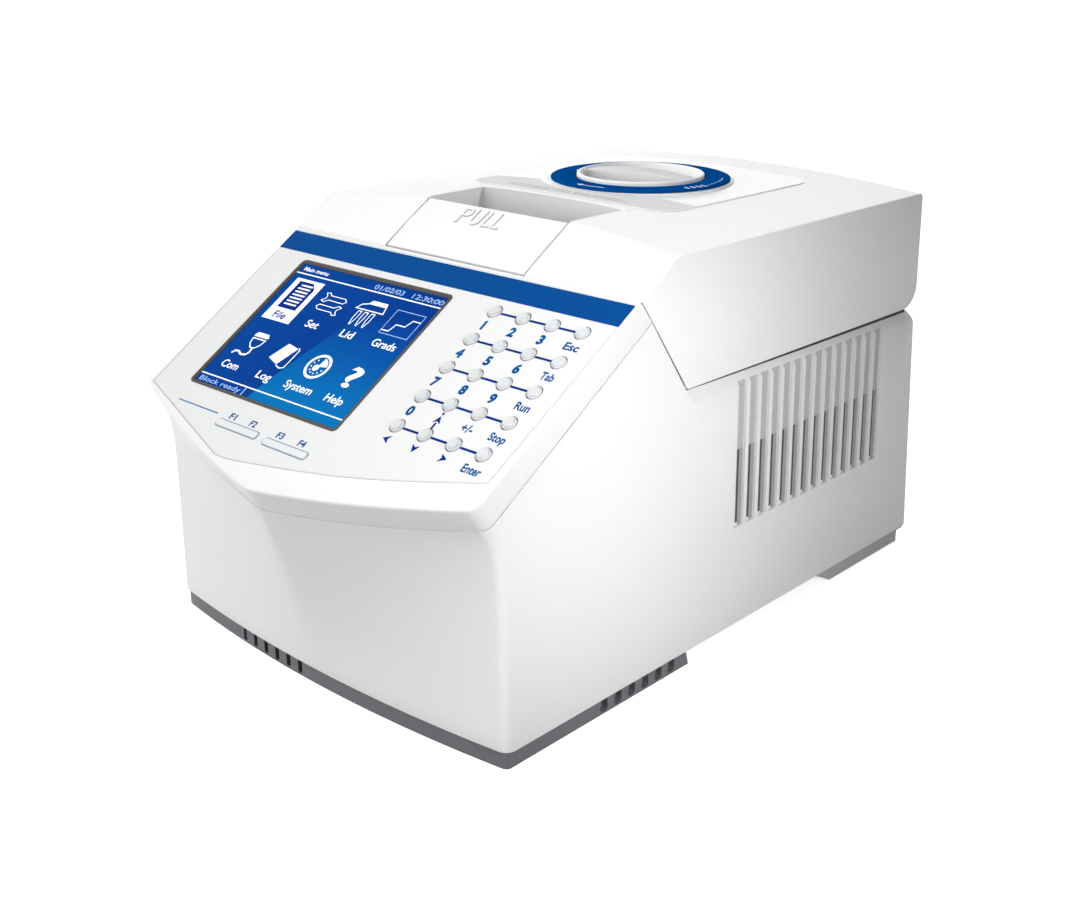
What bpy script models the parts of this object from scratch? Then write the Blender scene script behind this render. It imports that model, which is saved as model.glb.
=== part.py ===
"""Bench thermal cycler with a sloping control panel, a hinged heated lid and
a pressure knob, built as separate pieces.

Design coordinates, in millimetres: X runs across the unit (+X is the right
side seen from the front), Y runs to the back with Y = 0 at the panel's top
edge, and Z runs up with Z = 0 at the lower edge of the white housing.  An
empty shifts all of it, so that the world origin is under the middle of the
unit, on the surface it stands on.
"""
import math

import bmesh
import bpy
from mathutils import Matrix, Vector

MM = 0.001

# ---------------------------------------------------------------- sizes, mm
HALF_W = 135.0            # half of the housing's width
FOOT = 10.0               # height of the dark base under the housing
SHIFT_Y = -74.83           # design Y of the unit's middle, negated

PANEL_Z = 209.4           # height of the panel's top edge
SLOPE = math.radians(32.72)
COS, SIN = math.cos(SLOPE), math.sin(SLOPE)
BEZEL_H = 15.0            # bezel depth, square to the panel

V_Y, V_Z = 39.4, 154.6    # lowest front corner of the lid seam
SEAM_RUN = V_Y / (PANEL_Z - V_Z)
DECK_Z = 154.6
DECK_EDGE_Z = 146.0       # the deck is bevelled down to here along the sides
BACK_TOP_Y, BACK_Z = 284.0, 146.0
BACK_FOOT_Y = 294.0
WALL = 3.0
CORNER = 5.0              # radius of the housing's vertical corners
DRAFT = 2.8               # how much wider each side is at the foot
SEAM = 0.35               # gap between touching pieces

LID_GAP = 1.0             # seam between the lid and the bezel
LID_BOTTOM = 155.2
LID_BACK_Y = 281.0
LID_BACK_TOP = 277.8      # the back wall leans in to here at the top
HINGE_Y, HINGE_Z = 267.0, 169.0
LID_TOP_MID, LID_CROWN = 234.3, 7.0

BLOCK_Y = 165.0           # middle of the sample block, fan and knob
KNOB_R = 39.8
RING_R = 56.0

LCD = (-103.2, 22.4, 23.9, 124.0)       # x0, x1, s0, s1 on the panel
KEY_X0, KEY_PITCH_X = 56.4, 20.03
KEY_S0, KEY_PITCH_S = 26.9, 20.63
KEY_R = 4.0
KEY_TRAVEL = 1.0
ROCKERS = (("function_rocker_f1_f2", -39.9, 142.0),
           ("function_rocker_f3_f4", 1.7, 143.0))
ROCKER_LEN, ROCKER_W = 34.6, 5.0

GRILLE_Y0, GRILLE_PITCH, GRILLE_N = 88.3, 11.2, 14
GRILLE_W = 8.0
GRILLE_Z0, GRILLE_STEP = 61.5, 108.0

WELL_PITCH = 9.0
WELL_COLS, WELL_ROWS = 12, 8
PLATE_TRAVEL = 8.0        # heated plate's travel

# ------------------------------------------------------------ start clean
for old in list(bpy.data.objects):
    bpy.data.objects.remove(old, do_unlink=True)

scene = bpy.context.scene
scene.unit_settings.system = "METRIC"

root = bpy.data.objects.new("thermal_cycler", None)
root.location = (0.0, SHIFT_Y * MM, FOOT * MM)
scene.collection.objects.link(root)


# -------------------------------------------------------------- materials
def material(name, rgb, rough, metal=0.0, alpha=1.0):
    m = bpy.data.materials.new(name)
    m.use_nodes = True
    b = m.node_tree.nodes["Principled BSDF"]
    b.inputs["Base Color"].default_value = (*rgb, 1.0)
    b.inputs["Roughness"].default_value = rough
    b.inputs["Metallic"].default_value = metal
    b.inputs["Alpha"].default_value = alpha
    m.diffuse_color = (*rgb, alpha)
    return m


WHITE = material("white_housing", (0.86, 0.86, 0.85), 0.38)
WHITE_LID = material("white_lid", (0.88, 0.88, 0.88), 0.34)
DARK = material("dark_base", (0.085, 0.088, 0.095), 0.55)
OVERLAY = material("panel_print", (0.80, 0.83, 0.86), 0.30)
GLASS = material("lcd_glass", (0.02, 0.12, 0.40), 0.08, alpha=0.4)
LCDMAT = material("lcd_module", (0.02, 0.10, 0.38), 0.35)
KEYMAT = material("key_cap", (0.82, 0.84, 0.86), 0.30)
BLUE = material("blue_ring", (0.0, 0.085, 0.32), 0.35)
STEEL = material("zinc_steel", (0.60, 0.61, 0.62), 0.35, 1.0)
ALU = material("aluminium", (0.80, 0.81, 0.82), 0.30, 1.0)
BLACK = material("black_plastic", (0.03, 0.03, 0.032), 0.5)
GREY = material("grey_plastic", (0.33, 0.34, 0.35), 0.5)
PCB = material("circuit_board", (0.02, 0.16, 0.07), 0.5)
CERAMIC = material("ceramic", (0.85, 0.84, 0.80), 0.6)


# ---------------------------------------------------------------- helpers
def panel(x, s, off=0.0):
    """Point at x, s mm down the panel's slope, off mm out of its plane."""
    return Vector((x, -s * COS - off * SIN, PANEL_Z - s * SIN + off * COS))


BACK_T = math.atan2(BACK_FOOT_Y - BACK_TOP_Y, BACK_Z)
BACK_U = Vector((0.0, -math.sin(BACK_T), math.cos(BACK_T)))
BACK_N = Vector((0.0, math.cos(BACK_T), math.sin(BACK_T)))


def back(x, u, off=0.0):
    """Point on the leaning back wall: u mm up it, off mm out of it."""
    return Vector((x, BACK_FOOT_Y, 0.0)) + BACK_U * u + BACK_N * off


def upright(x, y, z=0.0):
    return Vector((x, y, z))


def drafted(x, y, z=0.0):
    """Point on the housing, whose sides spread towards the foot."""
    spread = DRAFT / HALF_W * max(0.0, 1.0 - z / 150.0)
    return Vector((x * (1.0 + spread), y, z))


def grille(x, y, z=0.0):
    """Point on a side grille, whose slots lean back towards the rear."""
    lean = 0.8 + 1.7 * (y - GRILLE_Y0) / (GRILLE_PITCH * GRILLE_N)
    p = drafted(x, y, z)
    p.y += (150.0 - z) / 90.0 * lean - 0.9
    return p


def seam_y(z):
    """Y of the sloping lid seam on the body, at height z."""
    return (PANEL_Z - z) * SEAM_RUN


def from_loops(loops):
    """Closed solid through rings of equal length, capped at both ends."""
    bm = bmesh.new()
    rings = [[bm.verts.new(p) for p in ring] for ring in loops]
    n = len(rings[0])
    for a, b in zip(rings, rings[1:]):
        for i in range(n):
            j = (i + 1) % n
            bm.faces.new((a[i], a[j], b[j], b[i]))
    bm.faces.new(rings[0][::-1])
    bm.faces.new(rings[-1])
    bmesh.ops.recalc_face_normals(bm, faces=bm.faces[:])
    return bm


def prism(outline, a, b, place=upright):
    """Outline in the first two coordinates, drawn out from a to b."""
    return from_loops([[place(u, v, w) for u, v in outline] for w in (a, b)])


def box(x0, x1, y0, y1, z0, z1, place=upright):
    return prism(((x0, y0), (x1, y0), (x1, y1), (x0, y1)), z0, z1, place)


def side_prism(outline_yz, x0, x1):
    """Outline in Y and Z, drawn out along X."""
    return from_loops([[Vector((x, y, z)) for y, z in outline_yz]
                       for x in (x0, x1)])


def circle(cx, cy, r, n, phase=0.0):
    return [(cx + r * math.cos(phase + 2 * math.pi * i / n),
             cy + r * math.sin(phase + 2 * math.pi * i / n))
            for i in range(n)]


def round_rect(x0, x1, y0, y1, r, n=3):
    pts = []
    for cx, cy, a0 in ((x1 - r, y1 - r, 0), (x0 + r, y1 - r, 90),
                       (x0 + r, y0 + r, 180), (x1 - r, y0 + r, 270)):
        for i in range(n + 1):
            a = math.radians(a0 + 90.0 * i / n)
            pts.append((cx + r * math.cos(a), cy + r * math.sin(a)))
    return pts


def turned(profile, cx, cy, n, place=upright, phase=0.0):
    """Solid of revolution through (radius, height) pairs; capped ends."""
    return from_loops([[place(cx + r * math.cos(phase + 2 * math.pi * i / n),
                              cy + r * math.sin(phase + 2 * math.pi * i / n),
                              h) for i in range(n)] for r, h in profile])


def tube(outer, inner, a, b, place=upright):
    """Wall between two outlines with the same number of points."""
    bm = bmesh.new()
    rings = [[bm.verts.new(place(u, v, w)) for u, v in line]
             for line, w in ((outer, a), (outer, b), (inner, b), (inner, a))]
    n = len(outer)
    for k in range(4):
        p, q = rings[k], rings[(k + 1) % 4]
        for i in range(n):
            j = (i + 1) % n
            bm.faces.new((p[i], p[j], q[j], q[i]))
    bmesh.ops.recalc_face_normals(bm, faces=bm.faces[:])
    return bm


def gather(bms):
    """Several separate solids in one mesh, for use as one cutter."""
    out = bmesh.new()
    for bm in bms:
        m = bpy.data.meshes.new("tmp")
        bm.to_mesh(m)
        bm.free()
        out.from_mesh(m)
        bpy.data.meshes.remove(m)
    return out


def add(name, bm, mat, origin=(0.0, 0.0, 0.0), parent=None, smooth=None):
    """Object from a mesh in design millimetres, with its origin moved."""
    o = Vector(origin)
    for v in bm.verts:
        v.co = (v.co - o) * MM
    me = bpy.data.meshes.new(name)
    bm.to_mesh(me)
    bm.free()
    if mat:
        me.materials.append(mat)
    if smooth is not None:
        me.shade_smooth()
        me.set_sharp_from_angle(angle=math.radians(smooth))
    ob = bpy.data.objects.new(name, me)
    scene.collection.objects.link(ob)
    if parent is None:
        ob.parent = root
        ob.location = o * MM
    else:
        ob.parent = parent
        ob.location = o * MM - parent_design[parent.name] * MM
    parent_design[name] = o
    return ob


parent_design = {}
tool_count = [0]


def tool(ob, bm, operation="DIFFERENCE"):
    """Boolean modifier on ob with a hidden cutter or a part to join."""
    tool_count[0] += 1
    name = "tool_%03d" % tool_count[0]
    me = bpy.data.meshes.new(name)
    for v in bm.verts:
        v.co = v.co * MM
    bm.to_mesh(me)
    bm.free()
    cutter = bpy.data.objects.new(name, me)
    scene.collection.objects.link(cutter)
    cutter.parent = root
    cutter.hide_render = True
    cutter.display_type = "WIRE"
    mod = ob.modifiers.new(name, "BOOLEAN")
    mod.operation = operation
    mod.solver = "EXACT"
    mod.object = cutter
    return cutter


def cut(ob, bm):
    return tool(ob, bm, "DIFFERENCE")


def join(ob, bm):
    return tool(ob, bm, "UNION")


# ------------------------------------------------- shape of the front face
def foot_y(x):
    """Front lower edge: a shallow arc."""
    return -109.6 + 10.0 * (x / HALF_W) ** 2


def prow_y(x):
    """Front edge at the bezel seam: a soft prow."""
    a = math.sqrt(x * x + 9.0) - 3.0
    if x > 0:
        return -137.3 + 0.135 * a + 0.00058 * x * x
    return -137.3 + 0.146 * a + 0.00070 * x * x


def seam_plane_z(y, off=-BEZEL_H):
    """Height of the plane off mm from the panel, at y."""
    s = -(y + off * SIN) / COS
    return PANEL_Z - s * SIN + off * COS


def prow_s(x):
    """Distance down the slope to the bezel's front edge."""
    return (8.11 - prow_y(x)) / COS


def corner_shift(x, r=CORNER):
    e = abs(x) - (HALF_W - r)
    if e <= 0:
        return 0.0
    return r - math.sqrt(max(0.0, r * r - e * e))


FRONT_T = (0.0, 0.32, 0.56, 0.74, 0.88, 1.0)


def front_profile(x, inset=0.0, top_off=-BEZEL_H):
    """Points of the front wall from its foot to the bezel seam."""
    shift = corner_shift(x) if inset == 0 else 0.0
    w = min(1.0, abs(x) / HALF_W)
    power = 1.42 * 7.75 ** (w ** 1.5)
    y_top = prow_y(x) + shift
    z_top = seam_plane_z(y_top)
    flare = foot_y(x) - prow_y(x)
    pts = []
    for t in FRONT_T:
        y = foot_y(x) + shift - flare * t ** power
        pts.append((y + inset, z_top * t))
    if inset:
        pts[0] = (pts[0][0], -6.0)
        y_end = pts[-1][0]
        pts[-1] = (y_end - 1.2, seam_plane_z(y_end, top_off))
    return pts


STATIONS = (0, 6, 20, 45, 75, 104, 122, 130, 132.5, 134.33, 135)
STATIONS = tuple(-x for x in STATIONS[:0:-1]) + STATIONS


# =========================================================== main housing
def housing_ring(x):
    a = abs(x)
    shift = corner_shift(x)
    deck = DECK_Z if a <= 130.0 else DECK_Z - (a - 130.0) / 5.0 * (
        DECK_Z - DECK_EDGE_Z)
    pts = front_profile(x)
    t = 15.0 / 67.4
    pts.append((V_Y * t, PANEL_Z - (PANEL_Z - V_Z) * t))
    pts.append((seam_y(deck), deck))
    back_y = 274.0 + (DECK_Z - deck) / (DECK_Z - BACK_Z) * 9.0
    pts.append((back_y - shift, deck))
    pts.append((BACK_TOP_Y + 0.15 - shift, BACK_Z - 2.0))
    pts.append((BACK_FOOT_Y - shift, 0.0))
    return [drafted(x, y, z) for y, z in pts]


housing = add("main_housing", from_loops([housing_ring(x)
                                          for x in STATIONS]), WHITE)


def housing_void_ring(x):
    a = abs(x)
    round_in = max(0.0, a - 129.0)
    ceiling = DECK_Z - WALL - max(0.0, a - 124.0) / 8.0 * 14.0
    pts = front_profile(x, inset=WALL + 0.3 + round_in, top_off=-8.0)
    y_top = seam_y(205.0) - 3.7
    pts.append((y_top, 205.0))
    pts.append((seam_y(ceiling) - 3.7, ceiling))
    pts.append((270.8 - round_in, ceiling))
    pts.append((BACK_FOOT_Y - WALL - 10.0 * 138 / 146 - round_in, 136.0))
    pts.append((BACK_FOOT_Y - WALL + 0.3 - round_in, -6.0))
    return [drafted(x, y, z) for y, z in pts]


void_x = (-132, -129, -124, -104, -75, -45, -20, -6, 0,
          6, 20, 45, 75, 104, 124, 129, 132)
cut(housing, from_loops([housing_void_ring(x) for x in void_x]))

# chamber opening in the deck, and a window in the back wall
cut(housing, box(-64, 64, BLOCK_Y - 47, BLOCK_Y + 47, 145, 160))
cut(housing, box(-118, 118, 13, 82, -12, 12, back))

# side grilles: shallow recesses, each with an open slit along its front edge
slots = []
for side in (-1, 1):
    for i in range(GRILLE_N):
        y = GRILLE_Y0 + GRILLE_PITCH * i
        xa, xb = sorted((side * (HALF_W - 1.7), side * (HALF_W + 4)))
        slots.append(box(xa, xb, y, y + GRILLE_W, GRILLE_Z0, 149.9,
                         grille))
cut(housing, gather(slots))
slits = []
for side in (-1, 1):
    for i in range(GRILLE_N):
        y = GRILLE_Y0 + GRILLE_PITCH * i
        xa, xb = sorted((side * (HALF_W - 8), side * (HALF_W - 1.0)))
        slits.append(box(xa, xb, y + 0.5, y + 3.6, GRILLE_Z0 + 2.5,
                         GRILLE_STEP, grille))
cut(housing, gather(slits))

# ================================================================ the base
def inset_foot(x, inset):
    return foot_y(x) + inset


def base_outline(inset, y_back=None):
    """Plan outline of the housing's foot, pulled in by inset."""
    hw = HALF_W + DRAFT - inset
    r = 2.5
    pts = []
    for x in (-hw + r, -104, -75, -45, -20, 0, 20, 45, 75, 104, hw - r):
        pts.append((x, inset_foot(x, inset)))
    yc = inset_foot(hw, inset)
    pts.append((hw - 0.293 * r, yc + 0.293 * r))
    pts.append((hw, yc + r))
    yb = (BACK_FOOT_Y - inset) if y_back is None else y_back
    pts += [(hw, yb - r), (hw - 0.293 * r, yb - 0.293 * r), (hw - r, yb)]
    pts += [(-hw + r, yb), (-hw + 0.293 * r, yb - 0.293 * r), (-hw, yb - r)]
    pts += [(-hw, yc + r), (-hw + 0.293 * r, yc + 0.293 * r)]
    return pts


base = add("base_pan", prism(base_outline(4.6), -2.2, 1.8), DARK)
skirt = tube(base_outline(1.5), base_outline(6.8), -FOOT, -0.4)
base_skirt = skirt
join(base, base_skirt)
# between the front skirt and the rear foot the base is lifted off the table
cut(base, side_prism(((51.0, -14.0), (47.6, -2.25), (184.0, -2.25),
                      (207.0, -14.0)), -150, 150))
cut(base, gather([box(-150, -132.8, 47.3, 183.4, -2.9, 3.0),
                  box(132.8, 150, 47.3, 183.4, -2.9, 3.0)]))
# the base stops short of the back wall
cut(base, box(-150, 150, 283.0, 300, -12, -2.25))
# ventilation slots in the skirt
vents = [box(x - 1.8, x + 1.8, -118, -98, -8.7, -2.6)
         for x in (-67.6 + 10.72 * i for i in range(6))]
for side in (-1, 1):
    xa, xb = sorted((side * 120, side * 145))
    vents += [box(xa, xb, y - 2.9, y + 2.9, -8.7, -2.6)
              for y in (-24.0 + 11.55 * i for i in range(6))]
cut(base, gather(vents))
# fan intake slots
cut(base, gather([box(x - 2.2, x + 2.2, BLOCK_Y - 40, BLOCK_Y + 40, -8, 6)
                  for x in (-36 + 9.0 * i for i in range(9))]))

# ======================================================= the control panel
def panel_outline(inset, s_back=0.0):
    """Bezel outline on the panel, (x, s), pulled in by inset."""
    hw = HALF_W - inset
    r = max(2.2, CORNER - inset)
    pts = [(hw, s_back), (-hw, s_back)]
    front = (-hw, -hw + 0.134 * r, -hw + 0.5 * r, -hw + r, -122, -104, -75,
             -45, -20, -6, 0, 6, 20, 45, 75, 104, 122, hw - r, hw - 0.5 * r,
             hw - 0.134 * r, hw)
    for x in front:
        e = abs(x) - (hw - r)
        lift = 0.0 if e <= 0 else r - math.sqrt(max(0.0, r * r - e * e))
        pts.append((x, prow_s(x) - 1.02 * inset - lift / COS))
    return pts


def bezel_loop(inset, off, s_back):
    pts = []
    for x, s in panel_outline(inset, s_back):
        p = panel(x, s, off)
        pts.append(drafted(p.x, p.y, p.z))
    return pts


bezel = add("panel_bezel", from_loops([
    bezel_loop(0.0, -BEZEL_H + SEAM, -0.76),
    bezel_loop(0.0, -2.4, -0.12),
    bezel_loop(0.8, -0.7, -0.03),
    bezel_loop(2.6, 0.0, 0.0)]), WHITE)
cut(bezel, from_loops([
    [panel(x, s, -BEZEL_H - 4) for x, s in panel_outline(3.0, 3.2)],
    [panel(x, s, -3.2) for x, s in panel_outline(3.0, 3.2)]]))

OVERLAY_LINE = [(-131.2, 2.2), (-128.6, 133.4), (-39.0, 161.3),
                (-30.0, 160.9), (-19.0, 159.1), (3.0, 155.8), (23.0, 152.2),
                (43.0, 148.3), (73.0, 140.6), (106.0, 130.8), (128.3, 123.4),
                (131.2, 2.2)]


def shrink(poly, d):
    """Move a polygon's edges inward by d."""
    n = len(poly)
    area = sum(poly[i][0] * poly[(i + 1) % n][1]
               - poly[(i + 1) % n][0] * poly[i][1] for i in range(n))
    sign = 1.0 if area > 0 else -1.0
    out = []
    for i in range(n):
        p0, p1, p2 = (Vector(poly[i - 1]), Vector(poly[i]),
                      Vector(poly[(i + 1) % n]))
        d1, d2 = (p1 - p0).normalized(), (p2 - p1).normalized()
        n1 = Vector((-d1.y, d1.x)) * sign
        n2 = Vector((-d2.y, d2.x)) * sign
        m = (n1 + n2).normalized()
        out.append(tuple(p1 + m * (d / max(0.3, m.dot(n1)))))
    return out


cut(bezel, prism(OVERLAY_LINE, -0.85, 4.0, panel))
x0, x1, s0, s1 = LCD
cut(bezel, box(x0 - 0.4, x1 + 0.4, s0 - 0.4, s1 + 0.4, -1.8, 3.0, panel))
holes = [box(x0 + 2.2, x1 - 2.2, s0 + 2.2, s1 - 2.2, -6.0, 2.0, panel)]
key_spots = [(KEY_X0 + KEY_PITCH_X * c, KEY_S0 + KEY_PITCH_S * r)
             for r in range(5) for c in range(4)]
for kx, ks in key_spots:
    holes.append(prism(circle(kx, ks, KEY_R + 0.5, 12, 0.11), -6.0, 2.0,
                       panel))
for _, rx, rs in ROCKERS:
    holes.append(prism(round_rect(rx - ROCKER_LEN / 2 - 0.6,
                                  rx + ROCKER_LEN / 2 + 0.6,
                                  rs - ROCKER_W / 2 - 0.5,
                                  rs + ROCKER_W / 2 + 0.5, 2.9), -6.0, 2.0,
                       panel))
cut(bezel, gather(holes))

overlay = add("panel_overlay",
              prism(shrink(OVERLAY_LINE, 0.35), -0.5, 0.0, panel), OVERLAY)
holes = [box(x0 - 0.4, x1 + 0.4, s0 - 0.4, s1 + 0.4, -3.0, 3.0, panel)]
for kx, ks in key_spots:
    holes.append(prism(circle(kx, ks, KEY_R + 0.6, 12, 0.11), -3.0, 3.0,
                       panel))
for _, rx, rs in ROCKERS:
    holes.append(prism(round_rect(rx - ROCKER_LEN / 2 - 0.7,
                                  rx + ROCKER_LEN / 2 + 0.7,
                                  rs - ROCKER_W / 2 - 0.6,
                                  rs + ROCKER_W / 2 + 0.6, 3.0), -3.0, 3.0,
                       panel))
cut(overlay, gather(holes))

add("lcd_window", from_loops([
    [panel(x, s, -1.4) for x, s in round_rect(x0, x1, s0, s1, 2.5, 2)],
    [panel(x, s, -0.1) for x, s in round_rect(x0, x1, s0, s1, 2.5, 2)]]),
    GLASS)
add("lcd_module", box(x0 - 1.2, x1 + 1.2, s0 - 1.4, s1 + 1.4, -12.5, -3.55,
                      panel), LCDMAT)
add("keypad_board", prism(((45, 16), (127, 16), (127, 126), (30, 152),
                           (-62, 152), (-62, 129.5), (45, 129.5)),
                          -9.2, -7.6, panel), PCB)

# round keys: a cap, a collar that keeps it in the panel, and a stem
key_mesh_profile = ((1.9, -6.2), (1.9, -4.9), (KEY_R + 1.4, -4.9),
                    (KEY_R + 1.4, -3.6), (KEY_R, -3.6), (KEY_R, 1.6))
for i, (kx, ks) in enumerate(key_spots):
    add("key_%02d" % (i + 1),
        turned(key_mesh_profile, kx, ks, 12, panel), KEYMAT,
        origin=panel(kx, ks, 0.0), smooth=40)

for name, rx, rs in ROCKERS:
    hl, hw = ROCKER_LEN / 2, ROCKER_W / 2
    rk = add(name, from_loops([
        [panel(x, s, -5.2) for x, s in
         round_rect(rx - hl - 1.6, rx + hl + 1.6, rs - hw - 1.6,
                    rs + hw + 1.6, 2.4, 3)],
        [panel(x, s, -4.3) for x, s in
         round_rect(rx - hl - 1.6, rx + hl + 1.6, rs - hw - 1.6,
                    rs + hw + 1.6, 2.4, 3)],
        [panel(x, s, -4.3) for x, s in
         round_rect(rx - hl, rx + hl, rs - hw, rs + hw, 2.4, 3)],
        [panel(x, s, 0.9) for x, s in
         round_rect(rx - hl, rx + hl, rs - hw, rs + hw, 2.4, 3)],
        [panel(x, s, 1.4) for x, s in
         round_rect(rx - hl + 0.5, rx + hl - 0.5, rs - hw + 0.5,
                    rs + hw - 0.5, 1.9, 3)]]), KEYMAT,
        origin=panel(rx, rs, -4.7))

# ============================================== heating and cooling stack
frame_out = round_rect(-63, 63, BLOCK_Y - 46, BLOCK_Y + 46, 5, 2)
frame_in = round_rect(-56.8, 56.8, BLOCK_Y - 39.8, BLOCK_Y + 39.8, 3, 2)
surround = add("block_surround", tube(frame_out, frame_in, 141.0, 156.0),
               GREY)
join(surround, tube(round_rect(-69, 69, BLOCK_Y - 52, BLOCK_Y + 52, 6, 2),
                    round_rect(-59, 59, BLOCK_Y - 42, BLOCK_Y + 42, 4, 2),
                    DECK_Z + SEAM, 156.4))

block = add("sample_block", box(-55, 55, BLOCK_Y - 38, BLOCK_Y + 38,
                                118.0, 146.0), ALU)
wells = []
for r in range(WELL_ROWS):
    for c in range(WELL_COLS):
        wx = (c - (WELL_COLS - 1) / 2) * WELL_PITCH
        wy = BLOCK_Y + (r - (WELL_ROWS - 1) / 2) * WELL_PITCH
        wells.append(turned(((1.35, 131.5), (3.35, 150.0)), wx, wy, 6))
cut(block, gather(wells))

add("peltier_array", box(-53, 53, BLOCK_Y - 36, BLOCK_Y + 36, 113.6, 117.6),
    CERAMIC)

fins = [(-65, 104.0)]
for i in range(15):
    fx = -56.0 + 8.0 * i
    fins += [(fx - 0.9, 104.0), (fx - 0.9, 58.0), (fx + 0.9, 58.0),
             (fx + 0.9, 104.0)]
fins += [(65, 104.0), (65, 113.2), (-65, 113.2)]
add("heatsink", from_loops([[Vector((x, y, z)) for x, z in fins]
                            for y in (BLOCK_Y - 50, BLOCK_Y + 50)]), ALU)

for side, tag in ((-1, "left"), (1, "right")):
    prof = [(80, 2.2), (80, 3.7), (68.5, 3.7), (68.5, 103.6), (59.5, 103.6),
            (59.5, 102.1), (67.0, 102.1), (67.0, 27.6), (43.0, 27.6),
            (43.0, 26.1), (67.0, 26.1), (67.0, 2.2)]
    add("chassis_bracket_" + tag,
        from_loops([[Vector((side * x, y, z)) for x, z in prof]
                    for y in (BLOCK_Y - 46.5, BLOCK_Y + 46.5)]), STEEL)

fan = add("fan_frame", box(-46, 46, BLOCK_Y - 46, BLOCK_Y + 46, 28.0, 53.0),
          BLACK)
cut(fan, prism(circle(0, BLOCK_Y, 43.5, 32), 20.0, 60.0))
spokes = [turned(((17.0, 28.0), (17.0, 31.0)), 0, BLOCK_Y, 20)]
join(fan, spokes[0])
for a in (45, 135):
    c, s = math.cos(math.radians(a)), math.sin(math.radians(a))
    bar = [(46 * c - 2 * s, BLOCK_Y + 46 * s + 2 * c),
           (-46 * c - 2 * s, BLOCK_Y - 46 * s + 2 * c),
           (-46 * c + 2 * s, BLOCK_Y - 46 * s - 2 * c),
           (46 * c + 2 * s, BLOCK_Y + 46 * s - 2 * c)]
    join(fan, prism(bar, 28.4, 30.6))
join(fan, turned(((2.0, 30.0), (2.0, 40.0)), 0, BLOCK_Y, 12))

rotor = add("fan_rotor", tube(circle(0, BLOCK_Y, 19.0, 21),
                              circle(0, BLOCK_Y, 2.4, 21), 32.0, 50.0),
            BLACK, origin=(0, BLOCK_Y, 41.0))
for k in range(7):
    a0 = 2 * math.pi * k / 7
    loops = []
    for r in (17.5, 30.0, 41.5):
        twist = math.radians(38 - 0.55 * (r - 17.5))
        half = 9.5
        ring = []
        for u, v in ((-half, -0.8), (half, -0.8), (half, 0.8), (-half, 0.8)):
            t = u * math.cos(twist) - v * math.sin(twist)
            z = 41.5 + u * math.sin(twist) * 0.9 + v * math.cos(twist)
            ang = a0 + t / max(r, 20.0)
            ring.append(Vector((r * math.cos(ang),
                                BLOCK_Y + r * math.sin(ang), z)))
        loops.append(ring)
    bm = from_loops(loops)
    join(rotor, bm)

# ================================================= boards and power supply
board = add("main_board", box(-105, 105, -82, 62, 9.0, 10.6), PCB)
parts = [(-92, -40, -60, -20, 10.2, 24), (-20, 20, -40, -5, 10.2, 16),
         (40, 92, -66, -30, 10.2, 28), (-80, 80, 30, 44, 10.2, 20),
         (45, 85, -10, 18, 10.2, 30)]
for p in parts:
    join(board, box(*p))
for px in (-98, 98):
    for py in (-74, 54):
        join(board, turned(((3.0, 2.15), (3.0, 9.4)), px, py, 10))
add("power_supply", box(-40, 78, 222.0, 274.0, 2.2, 52.0), STEEL)

# =============================================================== rear panel
rear = add("rear_panel", box(-122, 122, 9, 86, -4.9, -3.35, back), STEEL)
INLET = (-92.0, 44.0)
SWITCH = (-56.0, 44.0)
PORT = (92.0, 40.0)
holes = [box(INLET[0] - 13.8, INLET[0] + 13.8, INLET[1] - 10.4,
             INLET[1] + 10.4, -9, 0, back),
         box(SWITCH[0] - 9.8, SWITCH[0] + 9.8, SWITCH[1] - 6.8,
             SWITCH[1] + 6.8, -9, 0, back),
         box(PORT[0] - 6.4, PORT[0] + 6.4, PORT[1] - 5.9, PORT[1] + 5.9,
             -9, 0, back)]
for i in range(8):
    holes.append(box(-30 + 11 * i, -26 + 11 * i, 24, 70, -9, 0, back))
cut(rear, gather(holes))

inlet = add("power_inlet", from_loops([
    [back(x, u, -28) for x, u in round_rect(-105.3, -78.7, 34.1, 53.9, 1.5, 2)],
    [back(x, u, -3.0) for x, u in
     round_rect(-105.3, -78.7, 34.1, 53.9, 1.5, 2)],
    [back(x, u, -3.0) for x, u in
     round_rect(-107.6, -76.4, 31.4, 56.6, 2.5, 2)],
    [back(x, u, -1.0) for x, u in
     round_rect(-107.6, -76.4, 31.4, 56.6, 2.5, 2)]]), BLACK)
cut(inlet, prism(((-103.5, 35.9), (-80.5, 35.9), (-80.5, 47.5), (-84.5, 52.1),
                  (-99.5, 52.1), (-103.5, 47.5)), -18, 4, back))

swf = add("switch_frame", from_loops([
    [back(x, u, -16) for x, u in round_rect(-65.3, -46.7, 37.7, 50.3, 1, 2)],
    [back(x, u, -3.0) for x, u in round_rect(-65.3, -46.7, 37.7, 50.3, 1, 2)],
    [back(x, u, -3.0) for x, u in
     round_rect(-67.0, -45.0, 36.0, 52.0, 1.5, 2)],
    [back(x, u, -1.4) for x, u in
     round_rect(-67.0, -45.0, 36.0, 52.0, 1.5, 2)]]), BLACK)
cut(swf, box(-64.0, -48.0, 39.4, 48.6, -13.5, 4, back))
# rocker, resting on its off side: it turns about the axis along the wall
SW_AXIS = back(SWITCH[0], SWITCH[1], -5.5)
swr = [(-7.4, -3.0), (7.4, -3.0), (7.4, 3.2), (3.5, 2.3), (0.0, 2.0),
       (-3.5, 2.3), (-7.4, 3.2)]
tilt = math.radians(8.0)
sw_pts = []
for x, o in swr:
    sw_pts.append((x * math.cos(tilt) - o * math.sin(tilt),
                   x * math.sin(tilt) + o * math.cos(tilt)))
add("power_switch", from_loops([
    [back(SWITCH[0] + x, u, -5.5 + o) for x, o in sw_pts]
    for u in (40.0, 48.0)]), BLACK, origin=SW_AXIS)

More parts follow.
